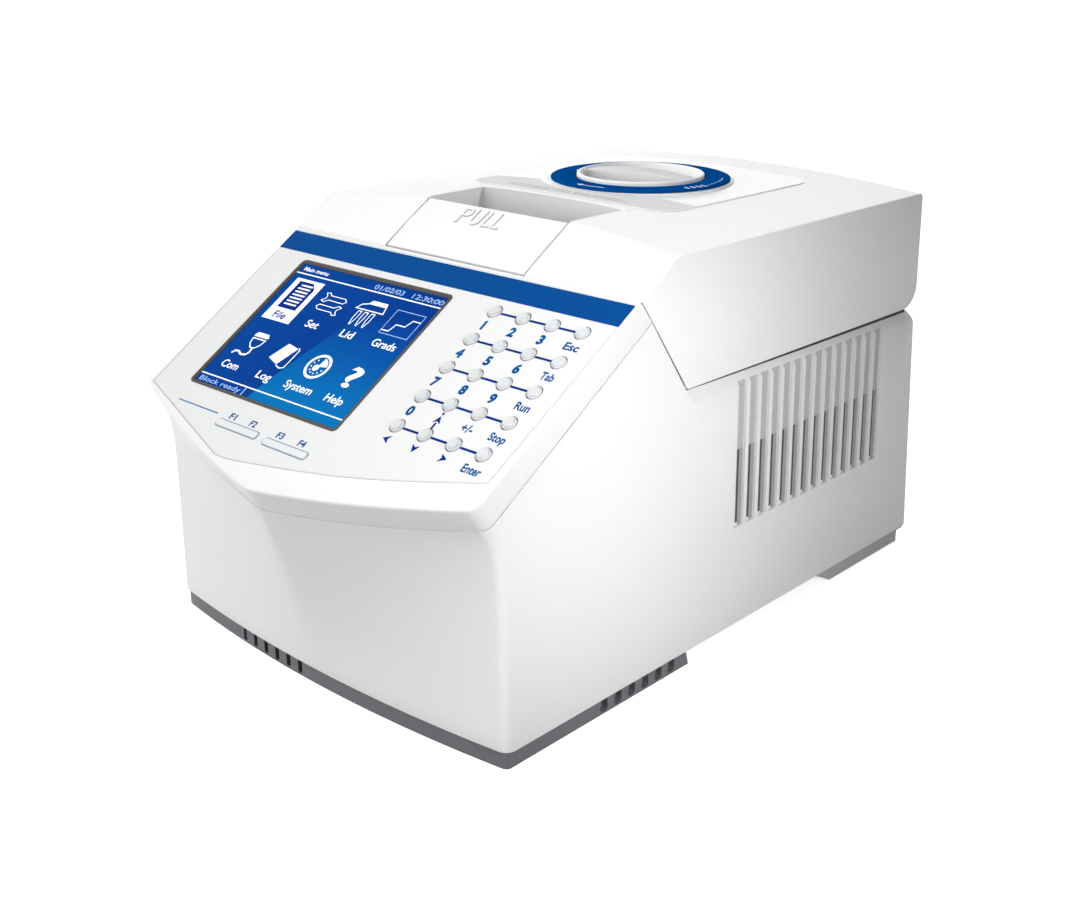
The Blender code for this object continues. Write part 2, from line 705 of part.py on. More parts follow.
port = add("data_port", from_loops([
    [back(x, u, -17) for x, u in round_rect(86.2, 97.8, 34.7, 45.3, 1, 2)],
    [back(x, u, -2.3) for x, u in round_rect(86.2, 97.8, 34.7, 45.3, 1, 2)]]),
    STEEL)
cut(port, box(87.6, 96.4, 36.0, 44.0, -14.5, 3, back))

# ============================================================== lid hinge
for side, tag in ((-1, "left"), (1, "right")):
    x0h, x1h = sorted((side * 87.0, side * 103.0))
    prof = [(262.0, DECK_Z + SEAM), (272.0, DECK_Z + SEAM), (272.0, 164.0),
            (273.2, 167.0), (273.2, 171.0), (270.5, 174.4), (263.5, 174.4),
            (260.8, 171.0), (260.8, 167.0), (262.0, 164.0)]
    br = add("hinge_bracket_" + tag, side_prism(prof, x0h, x1h), STEEL)
    hole = [(HINGE_Y + 3.4 * math.cos(a), HINGE_Z + 3.4 * math.sin(a))
            for a in (2 * math.pi * i / 16 for i in range(16))]
    cut(br, side_prism(hole, x0h - 4, x1h + 4))
rod = [(HINGE_Y + 3.0 * math.cos(a), HINGE_Z + 3.0 * math.sin(a))
       for a in (2 * math.pi * i / 16 for i in range(16))]
add("hinge_rod", side_prism(rod, -114, 114), STEEL, smooth=30)

# catch for the lid latch, on the sloping wall in front of the lid
kz = 189.0
catch = [(seam_y(kz + 4) + SEAM, kz + 4), (seam_y(kz + 4) + 8.2, kz + 1.0),
         (seam_y(kz) + 8.6, kz - 3.4), (seam_y(kz) + 6.4, kz - 3.4),
         (seam_y(kz) + 5.8, kz - 0.8), (seam_y(kz - 6) + SEAM, kz - 6)]
add("latch_catch", side_prism(catch, -9, 9), STEEL)

# ===================================================================== lid
def crown(x):
    return LID_TOP_MID - LID_CROWN * (x / HALF_W) ** 2


LID_X = (0, 20, 40, 60, 82, 104, 122, 131, 135)
LID_X = tuple(-x for x in LID_X[:0:-1]) + LID_X
ARC = 5


def lid_ring(x):
    z = crown(x)
    a = abs(x)
    dy = 0.0 if a < 134 else 1.2
    dz = 0.0 if a < 134 else 0.9
    y_front = (z - PANEL_Z) / math.tan(SLOPE)
    pts = [(LID_GAP, PANEL_Z), (seam_y(LID_BOTTOM) + LID_GAP, LID_BOTTOM),
           (HINGE_Y, LID_BOTTOM)]
    r = HINGE_Z - LID_BOTTOM
    for i in range(1, ARC + 1):
        t = math.radians(-90 + 90.0 * i / ARC)
        pts.append((HINGE_Y + 14.0 * math.cos(t), HINGE_Z + r * math.sin(t)))
    pts.append((LID_BACK_TOP - dy, z - 3.0 - dz))
    pts.append((LID_BACK_TOP - 2.5 - dy, z - dz))
    pts.append((y_front + 1.5, z - dz))
    pts.append((y_front - 1.3, z - 1.6 - dz))
    return [Vector((x, y, zz)) for y, zz in pts]


lid = add("lid_cover", from_loops([lid_ring(x) for x in LID_X]), WHITE_LID,
          origin=(0, HINGE_Y, HINGE_Z))


def lid_void_ring(x):
    z = crown(x) - WALL
    y_front = (z - PANEL_Z + WALL / COS) / math.tan(SLOPE)
    z_low = PANEL_Z - 0.4
    pts = [(seam_y(z_low) + LID_GAP + 3.7, z_low),
           (seam_y(150.0) + LID_GAP + 3.7, 150.0), (266.0, 150.0),
           (266.0, 158.2)]
    for i in range(1, ARC + 1):
        t = math.radians(-90 + 90.0 * i / ARC)
        pts.append((HINGE_Y + 11.0 * math.cos(t),
                    HINGE_Z + 11.0 * math.sin(t)))
    pts += [(LID_BACK_TOP - WALL, z), (y_front, z)]
    return [Vector((x, y, zz)) for y, zz in pts]


void = from_loops([lid_void_ring(x) for x in
                   (-132, -122, -104, -82, -60, -40, -20, 0, 20, 40, 60, 82,
                    104, 122, 132)])
cut(lid, void)
# walls of the finger pocket behind the latch, and the latch pin's two lugs
join(lid, side_prism(((16.5, 211.5), (77.0, 211.5), (84.5, 233.2),
                      (81.0, 233.2), (33.0, 229.0)), -58.2, 58.2))
PIVOT_S, PIVOT_OFF = -8.0, -4.5
PIVOT = panel(0, PIVOT_S, PIVOT_OFF)


def pivot_ring(r, x, n=12, d_off=0.0):
    """Ring of radius r round the latch's axis, at x."""
    return [panel(x, PIVOT_S + r * math.cos(2 * math.pi * i / n),
                  PIVOT_OFF + d_off + r * math.sin(2 * math.pi * i / n))
            for i in range(n)]


def pivot_rod(r, xa, xb, n=12, d_off=0.0):
    return from_loops([pivot_ring(r, xa, n, d_off), pivot_ring(r, xb, n,
                                                               d_off)])


# round pad that carries the dial
join(lid, prism(circle(0, BLOCK_Y, RING_R + 1.5, 40), 229.0, 234.65))
cut(lid, prism(circle(0, BLOCK_Y, KNOB_R + 1.2, 40), 220.0, 245.0))
# the pocket itself, then the gap that the latch sits in
cut(lid, side_prism(((12.0, 214.0), (74.5, 214.0), (81.0, 232.0),
                     (82.0, 246.0), (30.0, 246.0)), -55.2, 55.2))
cut(lid, box(-55.2, 55.2, -44.6, 6.0, -4.6, 12.0, panel))
for side in (-1, 1):
    xa, xb = sorted((side * 54.9, side * 60.0))
    join(lid, pivot_rod(3.3, xa, xb, 16, -0.2))
cut(lid, gather([pivot_rod(1.75, -62, -52), pivot_rod(1.75, 52, 62)]))
# openings for the catch and for the two hinge brackets
cut(lid, side_prism(((14.0, 204.0), (2.0, 204.0), (22.0, 174.0),
                     (36.0, 174.0), (31.0, 186.0)), -12, 12))
cut(lid, gather([box(-104.6, -85.4, 256, 292, 148, 174.5),
                 box(85.4, 104.6, 256, 292, 148, 174.5)]))

chassis = add("lid_chassis", box(-128, 128, 45, 261, 158.0, 160.6), GREY,
              origin=(0, HINGE_Y, HINGE_Z))
cut(chassis, box(-58, 58, BLOCK_Y - 41, BLOCK_Y + 41, 150, 170))
ear = [(240.0, 158.3), (258.0, 158.3), (266.0, 162.2), (271.0, 163.8),
       (273.8, 167.0), (273.8, 171.0), (271.0, 174.4), (264.0, 175.4),
       (258.0, 172.5), (245.0, 160.3), (240.0, 160.3)]
for side in (-1, 1):
    xa, xb = sorted((side * 64.0, side * 78.0))
    join(chassis, side_prism(ear, xa, xb))
hole = [(HINGE_Y + 3.4 * math.cos(a), HINGE_Z + 3.4 * math.sin(a))
        for a in (2 * math.pi * i / 16 for i in range(16))]
cut(chassis, side_prism(hole, -90, 90))

bridge = add("knob_bridge", from_loops([
    [Vector((x, y, z)) for x, z in
     ((-62.5, 160.95), (-60.5, 160.95), (-60.5, 209.0), (60.5, 209.0),
      (60.5, 160.95), (62.5, 160.95), (62.5, 211.0), (-62.5, 211.0))]
    for y in (BLOCK_Y - 14, BLOCK_Y + 14)]), STEEL)
cut(bridge, gather([prism(circle(0, BLOCK_Y, 9.6, 20), 200, 220),
                    prism(circle(-44, BLOCK_Y, 3.5, 12), 200, 220),
                    prism(circle(44, BLOCK_Y, 3.5, 12), 200, 220)]))

plate = add("heated_plate", box(-55.5, 55.5, BLOCK_Y - 38.5, BLOCK_Y + 38.5,
                                161.0, 169.0), ALU)
press = add("plate_carrier", box(-53, 53, BLOCK_Y - 36, BLOCK_Y + 36,
                                 169.35, 177.0), BLACK)
for px in (-44, 44):
    join(press, turned(((3.0, 176.0), (3.0, 222.0)), px, BLOCK_Y, 12))
add("lead_screw", turned(((5.0, 177.35), (5.0, 226.0)), 0, BLOCK_Y, 16),
    STEEL, smooth=40)

ring_obj = add("dial_ring", tube(circle(0, BLOCK_Y, RING_R, 40),
                                 circle(0, BLOCK_Y, KNOB_R + 0.9, 40),
                                 234.65 + SEAM, 236.2), BLUE)

# knob: a shallow dish with a grip bar across it, and a hub for the screw
knob = add("lid_knob", turned(((9.0, 211.8), (9.0, 223.0), (33.0, 225.2),
                               (37.6, 229.0), (KNOB_R, 236.0),
                               (KNOB_R, 238.0), (38.6, 238.6)),
                              0, BLOCK_Y, 30), WHITE_LID,
           origin=(0, BLOCK_Y, 236.0), smooth=35)
cut(knob, turned(((12.0, 228.6), (28.0, 230.4), (34.0, 233.6),
                  (37.2, 239.5), (37.2, 244.0)), 0, BLOCK_Y, 30))
turn = math.radians(8.0)
bar = []
for i in range(7):
    x = -36.6 + 73.2 * i / 6
    h = 240.2 - 2.2 * (x / 36.6) ** 2
    w = 8.0 - 2.0 * abs(x / 36.6)
    ring = []
    for dy, z in ((-w - 2.5, 227.5), (w + 2.5, 227.5), (w, h - 1.2),
                  (w - 1.6, h), (-w + 1.6, h), (-w, h - 1.2)):
        ring.append(Vector((x * math.cos(turn) - dy * math.sin(turn),
                            BLOCK_Y + x * math.sin(turn)
                            + dy * math.cos(turn), z)))
    bar.append(ring)
join(knob, from_loops(bar))
cut(knob, prism(circle(0, BLOCK_Y, 5.6, 16), 205.0, 227.0))

# label on the lid around the dial
LABEL_X = (-78, -60, -40, -20, 0, 20, 40, 60, 78)
LABEL_Y0 = (104, 95.5, 91.5, 89.6, 89.0, 89.6, 91.5, 95.5, 104)
loops = []
for lx, ly in zip(LABEL_X, LABEL_Y0):
    z = crown(lx) + 0.3
    if abs(lx) < 79:
        z = max(z, crown(lx) + 0.3)
    loops.append([Vector((lx, ly, z)), Vector((lx, 249.0 - (ly - 89) * 0.8,
                                               z)),
                  Vector((lx, 249.0 - (ly - 89) * 0.8, z + 0.4)),
                  Vector((lx, ly, z + 0.4))])
label = add("lid_label", from_loops(loops), OVERLAY)
cut(label, prism(circle(0, BLOCK_Y, RING_R + 2.3, 40), 225.0, 245.0))

# latch: a flap that the fingers pull, with an arm down to the catch
flap = add("pull_latch", from_loops([
    [panel(x, s, o) for s, o in ((-43.0, -3.0), (-43.0, -0.6), (-42.2, 0.0),
                                 (-23.5, 0.7), (-1.6, 0.0), (-1.6, -3.0))]
    for x in (-54.0, 54.0)]), WHITE_LID, origin=PIVOT)
for side in (-1, 1):
    xa, xb = sorted((side * 40.0, side * 53.6))
    join(flap, pivot_rod(2.9, xa, xb, 16))
arm = [(7.0, 210.6), (11.5, 213.5), (21.0, 203.0), (28.4, 192.5),
       (28.4, 183.5), (25.0, 183.5), (25.0, 191.2), (17.5, 200.5),
       (9.0, 207.0)]
join(flap, side_prism(arm, -8.0, 8.0))
cut(flap, gather([pivot_rod(1.75, -56, -38), pivot_rod(1.75, 38, 56)]))
for side, tag in ((-1, "left"), (1, "right")):
    xa, xb = sorted((side * 41.0, side * 59.6))
    add("latch_pin_" + tag, pivot_rod(1.4, xa, xb), STEEL)
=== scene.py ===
import math

import bmesh
import bpy
import numpy as np
from mathutils import Matrix, Vector


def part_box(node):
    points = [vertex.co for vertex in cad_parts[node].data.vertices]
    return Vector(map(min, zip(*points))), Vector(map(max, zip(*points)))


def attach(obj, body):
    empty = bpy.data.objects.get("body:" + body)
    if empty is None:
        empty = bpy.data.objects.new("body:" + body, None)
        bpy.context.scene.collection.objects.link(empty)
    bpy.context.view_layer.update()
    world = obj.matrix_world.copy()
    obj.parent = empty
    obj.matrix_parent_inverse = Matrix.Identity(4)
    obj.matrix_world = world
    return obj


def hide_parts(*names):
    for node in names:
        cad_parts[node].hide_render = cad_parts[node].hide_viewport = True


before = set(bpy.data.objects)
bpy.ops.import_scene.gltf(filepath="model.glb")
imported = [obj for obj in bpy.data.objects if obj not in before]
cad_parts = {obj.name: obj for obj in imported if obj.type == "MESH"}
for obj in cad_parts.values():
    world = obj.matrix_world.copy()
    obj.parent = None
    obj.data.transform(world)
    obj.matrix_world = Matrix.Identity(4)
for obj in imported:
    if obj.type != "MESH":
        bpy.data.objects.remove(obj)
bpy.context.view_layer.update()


# Everything below is written in the part's own design millimetres (Y = 0 at
# the panel's top edge, Z = 0 at the foot of the white housing) and moved into
# the row frame on the way out.
MM = 0.001
base_lo, base_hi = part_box("base_pan")
SHIFT_Y = -74.83
FOOT = 10.0

HALF_W = 135.0
PANEL_Z = 209.4
SLOPE = math.radians(32.72)
COS, SIN = math.cos(SLOPE), math.sin(SLOPE)
BEZEL_H = 15.0
V_Y, V_Z = 39.4, 154.6
SEAM_RUN = V_Y / (PANEL_Z - V_Z)
DECK_Z, DECK_EDGE_Z = 154.6, 146.0
BACK_TOP_Y, BACK_Z, BACK_FOOT_Y = 284.0, 146.0, 294.0
WALL, CORNER, DRAFT, SEAM = 3.0, 5.0, 2.8, 0.35
LID_GAP, LID_BOTTOM, LID_BACK_Y = 1.0, 155.2, 281.0
LID_BACK_TOP = 277.8
HINGE_Y, HINGE_Z = 267.0, 169.0
LID_TOP_MID, LID_CROWN = 234.3, 7.0
BLOCK_Y, KNOB_R, RING_R = 165.0, 39.8, 56.0
LCD = (-103.2, 22.4, 23.9, 124.0)
KEY_X0, KEY_PITCH_X, KEY_S0, KEY_PITCH_S, KEY_R = 56.4, 20.03, 26.9, 20.63, 4.0
ROCKERS = (("function_rocker_f1_f2", -39.9, 142.35),
           ("function_rocker_f3_f4", 1.7, 143.3))
ROCKER_LEN, ROCKER_W = 34.6, 4.2
GRILLE_Y0, GRILLE_PITCH, GRILLE_N, GRILLE_W = 88.3, 11.2, 14, 8.0
GRILLE_Z0, GRILLE_STEP = 61.5, 108.0
PIVOT_S, PIVOT_OFF = -8.0, -4.5

scene = bpy.context.scene


def row(p):
    return Vector((p[0], p[1] + SHIFT_Y, p[2] + FOOT)) * MM


def panel(x, s, off=0.0):
    return Vector((x, -s * COS - off * SIN, PANEL_Z - s * SIN + off * COS))


BACK_T = math.atan2(BACK_FOOT_Y - BACK_TOP_Y, BACK_Z)
BACK_U = Vector((0.0, -math.sin(BACK_T), math.cos(BACK_T)))
BACK_N = Vector((0.0, math.cos(BACK_T), math.sin(BACK_T)))


def back(x, u, off=0.0):
    return Vector((x, BACK_FOOT_Y, 0.0)) + BACK_U * u + BACK_N * off


def upright(x, y, z=0.0):
    return Vector((x, y, z))


def drafted(x, y, z=0.0):
    spread = DRAFT / HALF_W * max(0.0, 1.0 - z / 150.0)
    return Vector((x * (1.0 + spread), y, z))


def grille(x, y, z=0.0):
    """Side grille: slots lean back a little towards the rear."""
    lean = 0.8 + 1.7 * (y - GRILLE_Y0) / (GRILLE_PITCH * GRILLE_N)
    p = drafted(x, y, z)
    p.y += (150.0 - z) / 90.0 * lean - 0.9
    return p


def seam_y(z):
    return (PANEL_Z - z) * SEAM_RUN


# ------------------------------------------------------------ mesh helpers
def from_loops(loops, caps=True):
    bm = bmesh.new()
    rings = [[bm.verts.new(p) for p in ring] for ring in loops]
    n = len(rings[0])
    for a, b in zip(rings, rings[1:]):
        for i in range(n):
            j = (i + 1) % n
            bm.faces.new((a[i], a[j], b[j], b[i]))
    if caps:
        bm.faces.new(rings[0][::-1])
        bm.faces.new(rings[-1])
    bmesh.ops.recalc_face_normals(bm, faces=bm.faces[:])
    return bm


def prism(outline, a, b, place=upright):
    return from_loops([[place(u, v, w) for u, v in outline] for w in (a, b)])


def box(x0, x1, y0, y1, z0, z1, place=upright):
    return prism(((x0, y0), (x1, y0), (x1, y1), (x0, y1)), z0, z1, place)


def side_prism(outline_yz, x0, x1):
    return from_loops([[Vector((x, y, z)) for y, z in outline_yz]
                       for x in (x0, x1)])


def circle(cx, cy, r, n, phase=0.0):
    return [(cx + r * math.cos(phase + 2 * math.pi * i / n),
             cy + r * math.sin(phase + 2 * math.pi * i / n))
            for i in range(n)]


def round_rect(x0, x1, y0, y1, r, n=6):
    pts = []
    for cx, cy, a0 in ((x1 - r, y1 - r, 0), (x0 + r, y1 - r, 90),
                       (x0 + r, y0 + r, 180), (x1 - r, y0 + r, 270)):
        for i in range(n + 1):
            a = math.radians(a0 + 90.0 * i / n)
            pts.append((cx + r * math.cos(a), cy + r * math.sin(a)))
    return pts


def round_poly(pts, r, n=5):
    """Polygon with its corners rounded; r is one radius or one per corner."""
    out = []
    m = len(pts)
    for i in range(m):
        p0, p1, p2 = (Vector(pts[i - 1]), Vector(pts[i]),
                      Vector(pts[(i + 1) % m]))
        rr = r[i] if isinstance(r, (list, tuple)) else r
        if rr <= 0:
            out.append(tuple(p1))
            continue
        d1, d2 = (p0 - p1).normalized(), (p2 - p1).normalized()
        ang = d1.angle(d2)
        t = rr / math.tan(ang / 2)
        t = min(t, (p0 - p1).length * 0.49, (p2 - p1).length * 0.49)
        a, b = p1 + d1 * t, p1 + d2 * t
        for k in range(n + 1):
            w = k / n
            q = a.lerp(p1, w).lerp(p1.lerp(b, w), w)
            out.append(tuple(q))
    return out


def turned(profile, cx, cy, n, place=upright, phase=0.0):
    return from_loops([[place(cx + r * math.cos(phase + 2 * math.pi * i / n),
                              cy + r * math.sin(phase + 2 * math.pi * i / n),
                              h) for i in range(n)] for r, h in profile])


def tube(outer, inner, a, b, place=upright):
    bm = bmesh.new()
    rings = [[bm.verts.new(place(u, v, w)) for u, v in line]
             for line, w in ((outer, a), (outer, b), (inner, b), (inner, a))]
    n = len(outer)
    for k in range(4):
        p, q = rings[k], rings[(k + 1) % 4]
        for i in range(n):
            j = (i + 1) % n
            bm.faces.new((p[i], p[j], q[j], q[i]))
    bmesh.ops.recalc_face_normals(bm, faces=bm.faces[:])
    return bm


def gather(bms):
    out = bmesh.new()
    for bm in bms:
        m = bpy.data.meshes.new("tmp")
        bm.to_mesh(m)
        bm.free()
        out.from_mesh(m)
        bpy.data.meshes.remove(m)
    return out


def rounded(profile_pts, radii, n=4):
    """Open profile with rounded inner corners."""
    out = [tuple(profile_pts[0])]
    for i in range(1, len(profile_pts) - 1):
        p0, p1, p2 = (Vector(profile_pts[i - 1]), Vector(profile_pts[i]),
                      Vector(profile_pts[i + 1]))
        r = radii[i] if isinstance(radii, (list, tuple)) else radii
        if r <= 0:
            out.append(tuple(p1))
            continue
        d1, d2 = (p0 - p1), (p2 - p1)
        t = min(r, d1.length * 0.45, d2.length * 0.45)
        a, b = p1 + d1.normalized() * t, p1 + d2.normalized() * t
        for k in range(n + 1):
            w = k / n
            out.append(tuple(a.lerp(p1, w).lerp(p1.lerp(b, w), w)))
    out.append(tuple(profile_pts[-1]))
    return out


def shrink(poly, d):
    n = len(poly)
    area = sum(poly[i][0] * poly[(i + 1) % n][1]
               - poly[(i + 1) % n][0] * poly[i][1] for i in range(n))
    sign = 1.0 if area > 0 else -1.0
    out = []
    for i in range(n):
        p0, p1, p2 = (Vector(poly[i - 1]), Vector(poly[i]),
                      Vector(poly[(i + 1) % n]))
        d1, d2 = (p1 - p0).normalized(), (p2 - p1).normalized()
        n1 = Vector((-d1.y, d1.x)) * sign
        n2 = Vector((-d2.y, d2.x)) * sign
        m = (n1 + n2)
        m = n1 if m.length < 1e-6 else m.normalized()
        out.append(tuple(p1 + m * (d / max(0.3, m.dot(n1)))))
    return out


def ribbon(pts, w, a, b, place, closed=False):
    """Line of width w drawn through points, standing from a to b."""
    pts = [Vector(p) for p in pts]
    n = len(pts)
    left, right = [], []
    for i in range(n):
        if closed:
            d1 = (pts[i] - pts[i - 1]).normalized()
            d2 = (pts[(i + 1) % n] - pts[i]).normalized()
        else:
            d1 = (pts[i] - pts[i - 1]).normalized() if i else None
            d2 = (pts[i + 1] - pts[i]).normalized() if i < n - 1 else None
            d1 = d1 or d2
            d2 = d2 or d1
        n1, n2 = Vector((-d1.y, d1.x)), Vector((-d2.y, d2.x))
        m = n1 + n2
        m = n1 if m.length < 1e-6 else m.normalized()
        k = w / 2 / max(0.35, m.dot(n1))
        left.append(pts[i] + m * k)
        right.append(pts[i] - m * k)
    bm = bmesh.new()
    rows = [[bm.verts.new(place(p.x, p.y, h)) for p in line]
            for line, h in ((left, a), (left, b), (right, b), (right, a))]
    last = n if closed else n - 1
    for k in range(4):
        p, q = rows[k], rows[(k + 1) % 4]
        for i in range(last):
            j = (i + 1) % n
            bm.faces.new((p[i], p[j], q[j], q[i]))
    if not closed:
        bm.faces.new([r[0] for r in rows])
        bm.faces.new([r[-1] for r in rows][::-1])
    bmesh.ops.recalc_face_normals(bm, faces=bm.faces[:])
    return bm


text_cache = {}


def text_unit():
    if "H" not in text_cache:
        m = text_mesh("H", 0.0)
        ys = [v.co.y for v in m.vertices]
        text_cache["H"] = max(ys) - min(ys)
        bpy.data.meshes.remove(m)
    return text_cache["H"]


def text_mesh(word, weight):
    cu = bpy.data.curves.new("word", "FONT")
    cu.body = word
    cu.size = 1.0
    cu.align_x = "CENTER"
    cu.offset = weight
    cu.extrude = 0.5
    cu.resolution_u = 4
    ob = bpy.data.objects.new("word", cu)
    scene.collection.objects.link(ob)
    dg = bpy.context.evaluated_depsgraph_get()
    me = bpy.data.meshes.new_from_object(ob.evaluated_get(dg))
    bpy.data.objects.remove(ob, do_unlink=True)
    bpy.data.curves.remove(cu)
    return me


def word(body, cx, base, cap, a, b, place, flip_v=True, weight=0.0,
         width=None, shear=0.0, left=None):
    """Solid lettering with its baseline at base and cap height cap."""
    k = cap / text_unit()
    me = text_mesh(body, weight)
    xs = [v.co.x for v in me.vertices]
    mid = (max(xs) + min(xs)) / 2
    wide = (max(xs) - min(xs)) * k
    kx = k if width is None else k * width / wide
    if left is not None:
        cx = left + (max(xs) - min(xs)) * kx / 2
    bm = bmesh.new()
    bm.from_mesh(me)
    bpy.data.meshes.remove(me)
    bmesh.ops.remove_doubles(bm, verts=bm.verts[:], dist=1e-5)
    for v in bm.verts:
        u = cx + (v.co.x - mid) * kx + shear * v.co.y * k
        h = base - v.co.y * k if flip_v else base + v.co.y * k
        v.co = place(u, h, a + (v.co.z + 0.5) * (b - a))
    bmesh.ops.recalc_face_normals(bm, faces=bm.faces[:])
    return bm


def to_row(bm):
    for v in bm.verts:
        v.co = row(v.co)


def make(name, bm, mat, body, stands_for=(), smooth=32.0):
    """New visible piece that rides on a body."""
    if isinstance(bm, (list, tuple)):
        bm = gather(bm)
    to_row(bm)
    me = bpy.data.meshes.new(name)
    bm.to_mesh(me)
    bm.free()
    me.materials.append(mat)
    ob = bpy.data.objects.new(name, me)
    scene.collection.objects.link(ob)
    if smooth:
        me.shade_smooth()
        me.set_sharp_from_angle(angle=math.radians(smooth))
    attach(ob, body)
    if stands_for:
        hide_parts(*stands_for)
    return ob


def boolean(ob, bm, operation="DIFFERENCE"):
    """Cut or join now, and keep only the finished mesh."""
    to_row(bm)
    me = bpy.data.meshes.new("cutter")
    bm.to_mesh(me)
    bm.free()
    cutter = bpy.data.objects.new("cutter", me)
    scene.collection.objects.link(cutter)
    mod = ob.modifiers.new("cut", "BOOLEAN")
    mod.operation = operation
    mod.solver = "EXACT"
    mod.object = cutter
    bake(ob)
    bpy.data.objects.remove(cutter, do_unlink=True)
    bpy.data.meshes.remove(me)


def bake(ob):
    bpy.context.view_layer.update()
    dg = bpy.context.evaluated_depsgraph_get()
    new = bpy.data.meshes.new_from_object(ob.evaluated_get(dg))
    old = ob.data
    ob.modifiers.clear()
    ob.data = new
    name = old.name
    bpy.data.meshes.remove(old)
    new.name = name


def cut(ob, bm):
    boolean(ob, bm, "DIFFERENCE")


def join(ob, bm):
    boolean(ob, bm, "UNION")


def bevel(ob, width, segments=2, angle=35.0):
    mod = ob.modifiers.new("bevel", "BEVEL")
    mod.width = width * MM
    mod.segments = segments
    mod.limit_method = "ANGLE"
    mod.angle_limit = math.radians(angle)
    mod.use_clamp_overlap = True
    mod.harden_normals = False
    bake(ob)
    finish_mesh(ob)


def finish_mesh(ob, angle=32.0):
    ob.data.shade_smooth()
    ob.data.set_sharp_from_angle(angle=math.radians(angle))


# --------------------------------------------------------------- materials
def new_material(name):
    m = bpy.data.materials.new(name)
    m.use_nodes = True
    nt = m.node_tree
    return m, nt, nt.nodes["Principled BSDF"]


def link(nt, a, b):
    nt.links.new(a, b)


def coords(nt, scale=(1, 1, 1)):
    tc = nt.nodes.new("ShaderNodeTexCoord")
    mp = nt.nodes.new("ShaderNodeMapping")
    mp.inputs["Scale"].default_value = scale
    link(nt, tc.outputs["Object"], mp.inputs["Vector"])
    return mp.outputs["Vector"]


def noise(nt, vec, scale, detail=3.0, rough=0.55):
    n = nt.nodes.new("ShaderNodeTexNoise")
    n.inputs["Scale"].default_value = scale
    n.inputs["Detail"].default_value = detail
    n.inputs["Roughness"].default_value = rough
    link(nt, vec, n.inputs["Vector"])
    return n.outputs["Fac"]


def spread(nt, fac, lo, hi, a=0.3, b=0.7):
    r = nt.nodes.new("ShaderNodeMapRange")
    r.inputs["From Min"].default_value = a
    r.inputs["From Max"].default_value = b
    r.inputs["To Min"].default_value = lo
    r.inputs["To Max"].default_value = hi
    link(nt, fac, r.inputs["Value"])
    return r.outputs["Result"]


def tint(nt, fac, c1, c2):
    r = nt.nodes.new("ShaderNodeValToRGB")
    r.color_ramp.elements[0].position = 0.3
    r.color_ramp.elements[0].color = (*c1, 1)
    r.color_ramp.elements[1].position = 0.7
    r.color_ramp.elements[1].color = (*c2, 1)
    link(nt, fac, r.inputs["Fac"])
    return r.outputs["Color"]


def relief(nt, bsdf, height, distance, strength=0.5, edge=0.0):
    """Fine bump, over corners softened by a small radius."""
    bp = nt.nodes.new("ShaderNodeBump")
    bp.inputs["Strength"].default_value = strength
    bp.inputs["Distance"].default_value = distance * MM
    link(nt, height, bp.inputs["Height"])
    if edge > 0:
        bv = nt.nodes.new("ShaderNodeBevel")
        bv.samples = 4
        bv.inputs["Radius"].default_value = edge * MM
        link(nt, bv.outputs["Normal"], bp.inputs["Normal"])
    link(nt, bp.outputs["Normal"], bsdf.inputs["Normal"])


def plastic(name, rgb, rough, grain=1200.0, depth=0.02, drift=0.02,
            coat=0.0, edge=0.0, rough_var=0.02, spec=0.5):
    """Moulded plastic: slow colour drift, fine moulded grain, uneven gloss."""
    m, nt, b = new_material(name)
    v = coords(nt)
    slow = noise(nt, v, 9.0, 2.0)
    lo = tuple(max(0.0, c * (1.0 - drift)) for c in rgb)
    hi = tuple(min(1.0, c * (1.0 + drift)) for c in rgb)
    link(nt, tint(nt, slow, lo, hi), b.inputs["Base Color"])
    patch = noise(nt, v, 60.0, 4.0)
    link(nt, spread(nt, patch, rough - rough_var, rough + rough_var),
         b.inputs["Roughness"])
    b.inputs["Specular IOR Level"].default_value = spec
    if coat:
        b.inputs["Coat Weight"].default_value = coat
        b.inputs["Coat Roughness"].default_value = 0.12
    fine = noise(nt, v, grain, 2.0)
    relief(nt, b, fine, depth, 0.5, edge)
    return m


def metal(name, rgb, rough, along=(1, 60, 60), depth=0.01, edge=0.0,
          streak=0.10):
    """Brushed or rolled metal: stretched noise in gloss and relief."""
    m, nt, b = new_material(name)
    v = coords(nt, along)
    lines = noise(nt, v, 40.0, 5.0, 0.65)
    dark = tuple(c * 0.86 for c in rgb)
    link(nt, tint(nt, lines, dark, rgb), b.inputs["Base Color"])
    b.inputs["Metallic"].default_value = 1.0
    link(nt, spread(nt, lines, max(0.05, rough - streak), rough + streak),
         b.inputs["Roughness"])
    relief(nt, b, lines, depth, 0.35, edge)
    return m


def ink(name, rgb, rough=0.4, glow=0.0, spec=0.04):
    """Printed ink or lit pixels, with a little unevenness."""
    m, nt, b = new_material(name)
    v = coords(nt)
    n = noise(nt, v, 420.0, 3.0)
    lo = tuple(c * 0.93 for c in rgb)
    hi = tuple(min(1.0, c * 1.05) for c in rgb)
    col = tint(nt, n, lo, hi)
    link(nt, col, b.inputs["Base Color"])
    link(nt, spread(nt, n, rough - 0.05, rough + 0.05), b.inputs["Roughness"])
    b.inputs["Specular IOR Level"].default_value = spec
    if glow:
        link(nt, col, b.inputs["Emission Color"])
        b.inputs["Emission Strength"].default_value = glow
    relief(nt, b, n, 0.004, 0.3)
    return m


